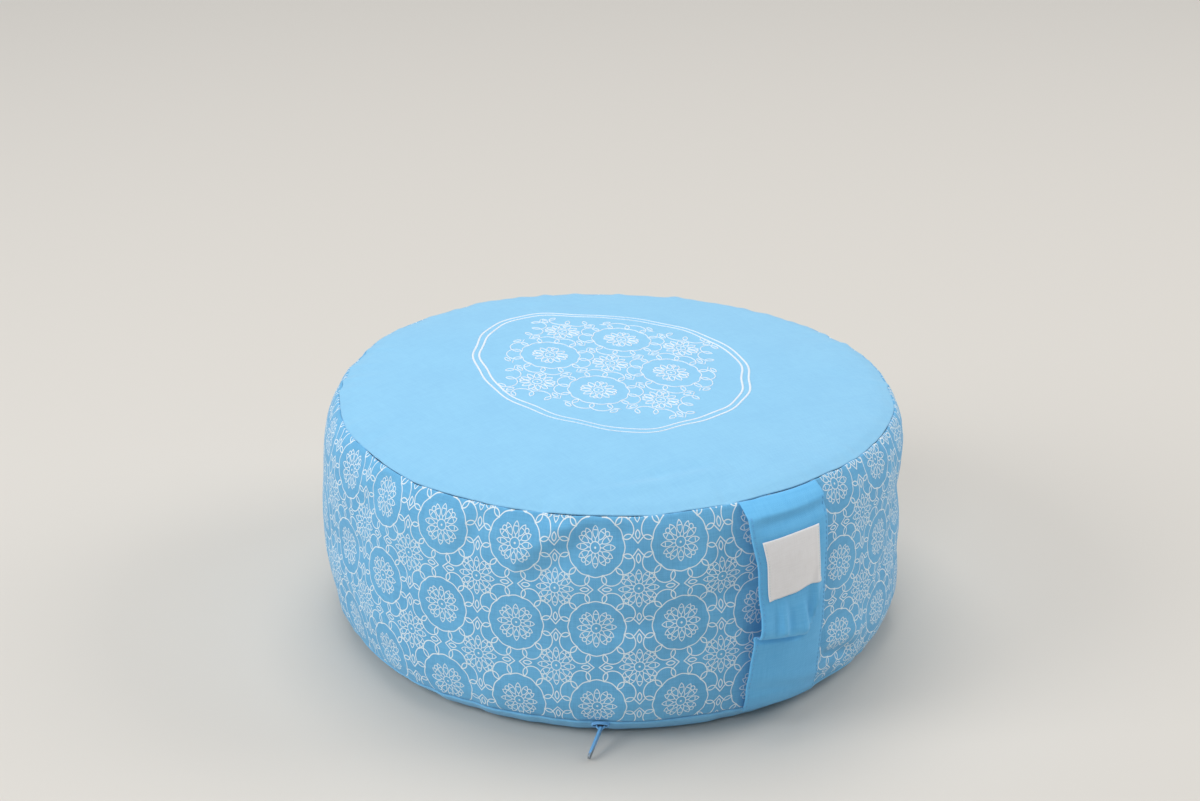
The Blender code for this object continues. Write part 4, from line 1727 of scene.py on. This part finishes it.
class Surface:
    """A new material in the making: its wiring and its shader."""

    def __init__(self, name: str) -> None:
        """Start the material."""
        self.material = bpy.data.materials.new(name)
        self.material.use_nodes = True
        self.wiring = Wiring(self.material.node_tree)

    def laid(self, map_name: str) -> Socket:
        """The place in one of the piece's maps."""
        return self.wiring.node("ShaderNodeUVMap", uv_map=map_name).outputs[0]

    def place(self) -> Socket:
        """The place in the piece's own coordinates."""
        return self.wiring.node("ShaderNodeTexCoord").outputs["Object"]

    def give(self, relief: tuple[Feed, float] | None = None, **looks: Feed) -> Material:
        """Feed the shader and return the finished material.

        Args:
            relief: A height from 0 to 1 and how far 1 stands up, if the surface has a relief.
            **looks: What the shader's inputs are fed, with _ for each space in a name.

        Returns:
            The material.
        """
        inputs = self.wiring.tree.nodes["Principled BSDF"].inputs
        for name, value in looks.items():
            self.wiring.feed(inputs[name.replace("_", " ")], value)
        if relief:
            raised = self.wiring.node("ShaderNodeBump")
            self.wiring.feed(raised.inputs["Height"], relief[0])
            self.wiring.feed(raised.inputs["Distance"], relief[1])
            self.wiring.feed(inputs["Normal"], raised.outputs[0])
        return self.material


class Group:
    """A shader node group in the making, with named inputs and outputs."""

    def __init__(self, name: str, inputs: dict[str, str], outputs: Sequence[str]) -> None:
        """Make the group and its sockets.

        Args:
            name: The group's name.
            inputs: For each input's name, its kind: Vector or Float.
            outputs: The outputs' names, all plain numbers.
        """
        self.tree = bpy.data.node_groups.new(name, "ShaderNodeTree")
        for key, kind in inputs.items():
            self.tree.interface.new_socket(key, in_out="INPUT", socket_type="NodeSocket" + kind)
        for key in outputs:
            self.tree.interface.new_socket(key, in_out="OUTPUT", socket_type="NodeSocketFloat")
        self.wiring = Wiring(self.tree)
        self.inputs = self.wiring.node("NodeGroupInput").outputs
        self.outputs = self.wiring.node("NodeGroupOutput").inputs

    def give(self, **values: Term) -> Tree:
        """Join the outputs and return the finished group."""
        for name, value in values.items():
            self.wiring.feed(self.outputs[name], value)
        return self.tree


def woven_group() -> Tree:
    """Plain weave: threads over and under each other, some thicker than others.

    Returns:
        A group that takes Place, in metres over the cloth, and Thread, the threads' pitch, and
        gives Height, from 0 to 1, and Tone, how much darker a thread is.
    """
    group = Group("woven threads", {"Place": "Vector", "Thread": "Float"}, ["Height", "Tone"])
    w = group.wiring
    x, y, _ = w.parts(group.inputs["Place"])
    thread = Term(w, group.inputs["Thread"])
    u, v = x / thread, y / thread
    warp = w.math("SINE", u * np.pi) * w.math("SINE", v * np.pi)
    slub_x = w.noise(w.vector(u * 0.9, v * 0.035), 1.0, 1.0)
    slub_y = w.noise(w.vector(u * 0.035, v * 0.9, 3.7), 1.0, 1.0)
    slubs = (slub_x + slub_y) * 0.5
    tone = w.spread(slubs, 0.36, 0.64, 0.0, 1.0)
    return group.give(Height=warp * 0.35 + 0.35 + slubs * 0.6, Tone=tone)


def mottled_group() -> Tree:
    """Slow unevenness of dyed, handled cloth.

    Returns:
        A group that takes Place, in metres over the cloth, and gives Shade, from 0 to 1.
    """
    group = Group("mottled dye", {"Place": "Vector"}, ["Shade"])
    w = group.wiring
    place = Term(w, group.inputs["Place"])
    shade = w.noise(place, 28.0, 3.0) * 0.6 + w.noise(place, 210.0, 2.0) * 0.4
    return group.give(Shade=w.spread(shade, 0.36, 0.64, 0.0, 1.0))


def print_group(chart: RosetteChart, line: float, fine: float, soft: float) -> Tree:
    """The printed repeat of ringed and open rosettes.

    Args:
        chart: The repeat's sizes.
        line: Half of the printed line's width, in repeats.
        fine: How much less that is within the rosettes.
        soft: How far a line's edge fades, in repeats.

    Returns:
        A group that takes Place, in repeats, and gives Ink, 1 on the lines and 0 between them.
    """
    group = Group("rosette print", {"Place": "Vector"}, ["Ink"])
    w = group.wiring
    x, y, _ = w.parts(group.inputs["Place"])
    x = abs(x - w.math("ROUND", x))
    y = abs(y - w.math("ROUND", y))
    high, low = x.most(y), x.least(y)

    def length(a: Term, b: Term) -> Term:
        """How far a point is from the middle."""
        return w.math("SQRT", a * a + b * b)

    def lens(a: Term, b: Term, size: Triple) -> Term:
        """How far a point is from the side of a lens along a, for b of 0 or more."""
        centre, beyond, radius = chart.lens(*size)
        return abs(length(a - centre, b + beyond) - radius)

    def petals(a: Term, b: Term, reach: Term) -> tuple[Term, Term, Term, Term]:
        """Fold a place into half of one petal, and into half of the gap beside it.

        Args:
            a: The place along.
            b: The place across, 0 or more.
            reach: How far it is from the rosette's middle.

        Returns:
            Along and across the petal, then along and across the gap.
        """
        angle = w.math("ARCTAN2", b, a)
        step = TURN / chart.petals
        folded = abs(w.math("WRAP", angle, step / 2, -step / 2))
        between = step / 2 - folded
        return (reach * w.math("COSINE", folded), reach * w.math("SINE", folded),
                reach * w.math("COSINE", between), reach * w.math("SINE", between))

    ringed = length(high, low)
    corner_x, corner_y = 0.5 - high, 0.5 - low
    opened = length(corner_x, corner_y)
    nearer = ringed.above(opened)
    rose_x = high + (corner_x - high) * nearer
    rose_y = low + (corner_y - low) * nearer
    rose = ringed.least(opened)
    along, off, _, _ = petals(rose_x, rose_y, rose)
    stem = off + (along - chart.petal[0]).most(0.0) + (chart.eye - along).most(0.0)
    crossing = abs(rose - chart.crossing[0]) + (off - chart.crossing[1]).most(0.0)
    bead_x = (rose_x + rose_y) * float(np.sqrt(0.5)) - chart.bead[0]
    bead_y = (rose_x - rose_y) * float(np.sqrt(0.5))
    away = abs(rose - chart.eye).least((rose - chart.dot).most(0.0)).least(stem).least(crossing)
    away = away.least(lens(along, off, chart.petal))
    away = away.least(abs(length(bead_x, bead_y) - chart.bead[1])) + fine
    _, _, gap_ring, gap_side = petals(high, low, ringed)
    half_gap = chart.ring * float(np.sin(np.pi / chart.petals))
    rise = w.math("SQRT", (gap_side / half_gap).most(0.0))
    away = away.least(abs(ringed - rise * chart.ring_dent - (chart.ring - chart.ring_dent)))
    away = away.least(lens(gap_ring, gap_side, chart.link))
    centre = chart.scallop[0] * np.array([np.cos(np.pi / 6), np.sin(np.pi / 6)])
    arc = abs(length(high - float(centre[0]), low - float(centre[1])) - chart.scallop[1])
    away = away.least(arc + (chart.scallop_reach - ringed).above(0.0))
    (x_0, y_0), (x_1, y_1) = chart.arm
    run = float(np.hypot(x_1 - x_0, y_1 - y_0))
    dir_x, dir_y = (x_1 - x_0) / run, (y_1 - y_0) / run
    share = ((high - x_0) * dir_x + (low - y_0) * dir_y).most(0.0).least(run)
    away = away.least(length(high - x_0 - share * dir_x, low - y_0 - share * dir_y))
    away = away.least(lens(low, 0.5 - high, chart.bud))
    return group.give(Ink=1.0 - w.spread(away, line - soft, line + soft, 0.0, 1.0))


@dataclass(frozen=True)
class ClothGroups:
    """The node groups that the cloths share."""

    woven: Tree
    mottled: Tree
    rosettes: Tree


@dataclass(frozen=True)
class ClothFinish:
    """A woven cloth: its dye, its thread and its surface."""

    name: str
    colour: Triple
    deep: Triple
    thread: float = 0.55 * MM
    relief: float = 0.10 * MM
    roughness: float = 0.86
    sheen: float = 0.15
    ink: Triple | None = None

    def material(self, groups: ClothGroups) -> Material:
        """Make the cloth's material.

        Args:
            groups: The node groups that the cloths share.

        Returns:
            The material, which reads the map of metres over the cloth.
        """
        surface = Surface(self.name)
        w, place = surface.wiring, surface.laid("Cloth")
        threads = w.placed(groups.woven, Place=place, Thread=self.thread)
        shade, height = w.placed(groups.mottled, Place=place)["Shade"], threads["Height"]
        colour = w.colour(threads["Tone"] * 0.55 + shade * 0.45, self.colour, self.deep)
        rough = w.spread(height, 0.2, 1.1, self.roughness + 0.06, self.roughness - 0.06)
        if self.ink:
            ink = w.placed(groups.rosettes, Place=surface.laid("Print"))["Ink"]
            cover = ink * w.spread(height + shade * 0.3, 0.25, 0.8, 0.80, 1.0)
            colour = w.colour(cover, colour, self.ink)
        return surface.give(
            (height, self.relief), Base_Color=colour, Roughness=rough,
            Sheen_Weight=self.sheen, Sheen_Roughness=0.5, Specular_IOR_Level=0.25,
        )


@dataclass(frozen=True)
class ThreadFinish:
    """Sewing thread: twisted strands with a soft gloss."""

    name: str
    colour: Triple
    deep: Triple
    roughness: float = 0.5
    twist: float = 2600.0

    def material(self) -> Material:
        """Make the thread's material."""
        surface = Surface(self.name)
        w = surface.wiring
        strands = w.noise(surface.place(), self.twist, 1.0)
        colour = w.colour(w.spread(strands, 0.35, 0.65, 0, 1), self.colour, self.deep)
        rough = w.spread(strands, 0.3, 0.7, self.roughness - 0.1, self.roughness + 0.1)
        return surface.give(
            (strands, 0.05 * MM), Base_Color=colour, Roughness=rough, Sheen_Weight=0.2,
        )


@dataclass(frozen=True)
class EnamelFinish:
    """Enamelled zinc, worn to the metal towards the pull's free end."""

    name: str = "worn enamel"
    enamel: Triple = (0.16, 0.42, 0.74)
    metal: Triple = (0.32, 0.35, 0.38)
    worn_below: float = 4.6 * MM
    ragged: float = 3.0 * MM

    def material(self) -> Material:
        """Make the enamel's material, which reads heights over the floor."""
        surface = Surface(self.name)
        w, place = surface.wiring, surface.place()
        _, _, z = w.parts(place)
        level = z + (w.noise(place, 900.0, 3.0) - 0.5) * self.ragged
        start, end = self.worn_below - 0.7 * MM, self.worn_below + 0.3 * MM
        bare = w.spread(level, start, end, 1.0, 0.0)
        return surface.give(
            (1.0 - bare * 0.7, 0.06 * MM), Base_Color=w.colour(bare, self.enamel, self.metal),
            Roughness=w.spread(bare, 0.0, 1.0, 0.35, 0.5), Metallic=bare * 0.8,
        )


@dataclass(frozen=True)
class MouthShadeFinish:
    """Painted shade on a plate inside the slider's mouth."""

    name: str = "slider mouth painted shade"
    # Near-black and dark blue: painted shade of the mouth's opening.
    painted_shade: Triple = (0.012, 0.02, 0.035)
    shade_mottle: Triple = (0.05, 0.08, 0.12)

    def material(self) -> Material:
        """Make the mouth's material: painted shade, darker and lighter by turns."""
        surface = Surface(self.name)
        w = surface.wiring
        shade_mottle = w.noise(surface.place(), 1500.0, 2.0)
        return surface.give(
            Base_Color=w.colour(shade_mottle, self.painted_shade, self.shade_mottle),
            Roughness=w.spread(shade_mottle, 0.3, 0.7, 0.4, 0.75),
        )


# The studio.

class Lamp(NamedTuple):
    """A square soft light: where it hangs, what it faces, its side, power and colour."""

    name: str
    place: Triple
    target: Triple
    side: float
    power: float
    colour: Triple


@dataclass(frozen=True)
class Studio:
    """A plain pale floor, soft light from above and from the sides, and the camera.

    The lens is in mm; ahead and upward are the camera's directions.
    """

    floor_half: float = 9.0
    floor_colour: Triple = (0.66, 0.62, 0.57)
    sky: Triple = (0.86, 0.93, 1.0)
    sky_strength: float = 0.34
    eye: Triple = (-0.93764, -1.27889, 0.86179)
    ahead: Triple = (0.53362, 0.73628, -0.41611)
    upward: Triple = (0.22775, 0.34873, 0.90913)
    lens: float = 86.69
    lamps: tuple[Lamp, ...] = (
        Lamp("overhead", (0.2, 0.7, 2.5), (0.0, 0.0, 0.1), 1.8, 32.0, (1.0, 0.99, 0.97)),
        Lamp("left", (-2.3, 0.5, 1.5), (0.0, 0.0, 0.08), 1.4, 31.0, (0.97, 0.99, 1.0)),
        Lamp("right", (2.2, -0.9, 1.7), (0.0, 0.0, 0.08), 1.4, 27.5, (1.0, 0.99, 0.97)),
        Lamp("front", (-1.7, -1.7, 1.9), (0.0, 0.0, 0.08), 0.9, 12.0, (1.0, 0.99, 0.97)),
    )

    def build(self) -> None:
        """Make the floor, the sky, the lamps and the camera."""
        self.build_floor()
        self.build_sky()
        for lamp in self.lamps:
            self.hang(lamp)
        self.build_camera()
        bpy.context.scene.view_settings.view_transform = "Standard"

    def build_floor(self) -> None:
        """A wide plain floor."""
        mesh = bpy.data.meshes.new("floor")
        half = self.floor_half
        mesh.from_pydata([(-half, -half, 0), (half, -half, 0), (half, half, 0), (-half, half, 0)],
                         [], [(0, 1, 2, 3)])
        floor = bpy.data.objects.new("floor", mesh)
        bpy.context.scene.collection.objects.link(floor)
        surface = Surface("pale floor")
        mesh.materials.append(surface.give(Base_Color=(*self.floor_colour, 1.0), Roughness=0.75))

    def build_sky(self) -> None:
        """Even light from all round."""
        world = bpy.data.worlds.new("sky")
        world.use_nodes = True
        sky = world.node_tree.nodes["Background"]
        sky.inputs["Color"].default_value = (*self.sky, 1)
        sky.inputs["Strength"].default_value = self.sky_strength
        bpy.context.scene.world = world

    def hang(self, lamp: Lamp) -> None:
        """Hang one lamp, facing its target.

        Args:
            lamp: The lamp.
        """
        data = bpy.data.lights.new(lamp.name, "AREA")
        data.size, data.energy, data.color = lamp.side, lamp.power, lamp.colour
        item = bpy.data.objects.new(lamp.name, data)
        aim = Vector(lamp.target) - Vector(lamp.place)
        item.rotation_euler = aim.to_track_quat("-Z", "Y").to_euler()
        item.location = lamp.place
        bpy.context.scene.collection.objects.link(item)

    def build_camera(self) -> None:
        """The camera, where the photographer stood."""
        data = bpy.data.cameras.new("camera")
        data.lens, data.sensor_width = self.lens, 36.0
        data.clip_end = 50.0
        camera = bpy.data.objects.new("camera", data)
        back, up = -Vector(self.ahead), Vector(self.upward)
        right = up.cross(back).normalized()
        turn = Matrix((right, up.normalized(), back.normalized())).transposed()
        camera.matrix_world = Matrix.Translation(self.eye) @ turn.to_4x4()
        bpy.context.scene.collection.objects.link(camera)
        bpy.context.scene.camera = camera


# The finished cushion.

PRINTED = ClothFinish(
    "printed cotton", (0.165, 0.492, 0.79), (0.122, 0.40, 0.68), ink=(0.80, 0.88, 0.92),
)
# The top panel's cotton is lighter and whiter than the strap's: painted sheen where light falls on
# top.
SHEENED_TOP_BLUE = ClothFinish("blue cotton with painted sheen", (0.268, 0.578, 0.818), (0.24, 0.533, 0.783))
# The base panel is the top's cotton in a deeper blue: painted shade, as it lies under the cushion.
SHADED_BASE_BLUE = ClothFinish("base cotton in painted shade", (0.22, 0.55, 0.83), (0.19, 0.50, 0.79))
STRAP = ClothFinish("strap cotton", (0.16, 0.52, 0.86), (0.125, 0.46, 0.80), thread=0.6 * MM)
LABEL = ClothFinish(
    "label satin", (0.90, 0.88, 0.88), (0.84, 0.815, 0.81),
    thread=0.32 * MM, relief=0.03 * MM, roughness=0.5, sheen=0.3,
)
EMBROIDERY = ThreadFinish("white embroidery", (0.90, 0.93, 0.97), (0.70, 0.80, 0.90), 0.38)
BLUE_THREAD = ThreadFinish("blue thread", (0.16, 0.48, 0.80), (0.09, 0.32, 0.62))
LABEL_THREAD = ThreadFinish("label thread", (0.72, 0.80, 0.86), (0.45, 0.62, 0.78))


def dress(piece: Piece, material: Material) -> None:
    """Give a piece its material, let it ride with the cushion, and report it.

    Args:
        piece: The piece.
        material: Its material.
    """
    piece.data.materials.clear()
    piece.data.materials.append(material)
    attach(piece, "root")
    LOG.info("%s: %d faces", piece.name, len(piece.data.polygons))


def dress_cloths(form: CushionForm, groups: ClothGroups) -> None:
    """Build and dress the filled body and its two panels.

    Args:
        form: The cushion's form.
        groups: The node groups that the cloths share.
    """
    filled = FilledBody(form)
    body = filled.build()
    filled.fill(body)
    dress(body, PRINTED.material(groups))
    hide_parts("cushion")
    top, bottom = TopPanel(form), BottomPanel(form)
    top_piece, bottom_piece = top.build(), bottom.build()
    roundel = Roundel(form)
    thread = EMBROIDERY.material()
    sewn = [roundel.build_patch(), roundel.build_rings()]
    for piece in sewn:
        dress(piece, thread)
    dress(top_piece, SHEENED_TOP_BLUE.material(groups))
    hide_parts("top_panel")
    dress(bottom_piece, SHADED_BASE_BLUE.material(groups))
    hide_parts("bottom_panel")


def dress_strap(form: CushionForm, groups: ClothGroups) -> None:
    """Build and dress the carry strap, its label and their stitches.

    Args:
        form: The cushion's form.
        groups: The node groups that the cloths share.
    """
    strap = CarryStrap(form)
    label = WovenLabel(strap)
    strap_piece, strap_sewing = strap.build(), strap.stitches()
    label_piece, label_sewing = label.build(), label.stitches()
    dress(strap_piece, STRAP.material(groups))
    dress(strap_sewing, BLUE_THREAD.material())
    dress(label_piece, LABEL.material(groups))
    dress(label_sewing, LABEL_THREAD.material())
    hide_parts("handle_strap")
    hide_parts("woven_label")


def dress_zip() -> None:
    """Build the slider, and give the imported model's pull its worn enamel."""
    enamel = EnamelFinish().material()
    slider = ZipSlider()
    shell, mouth = slider.build()
    dress(shell, enamel)
    dress(mouth, MouthShadeFinish().material())
    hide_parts("zip_slider")
    pull = bpy.data.objects["zip_pull"]
    for place in pull.material_slots:
        place.material = enamel


def main() -> None:
    """Build and dress the whole cushion, and set up the studio."""
    logging.basicConfig(level=logging.INFO, format="%(name)s: %(message)s")
    form = CushionForm()
    rosettes = print_group(RosetteChart(), line=0.0062, fine=0.0013, soft=0.0023)
    groups = ClothGroups(woven_group(), mottled_group(), rosettes)
    Studio().build()
    dress_cloths(form, groups)
    dress_strap(form, groups)
    dress_zip()


if __name__ == "__main__":
    main()
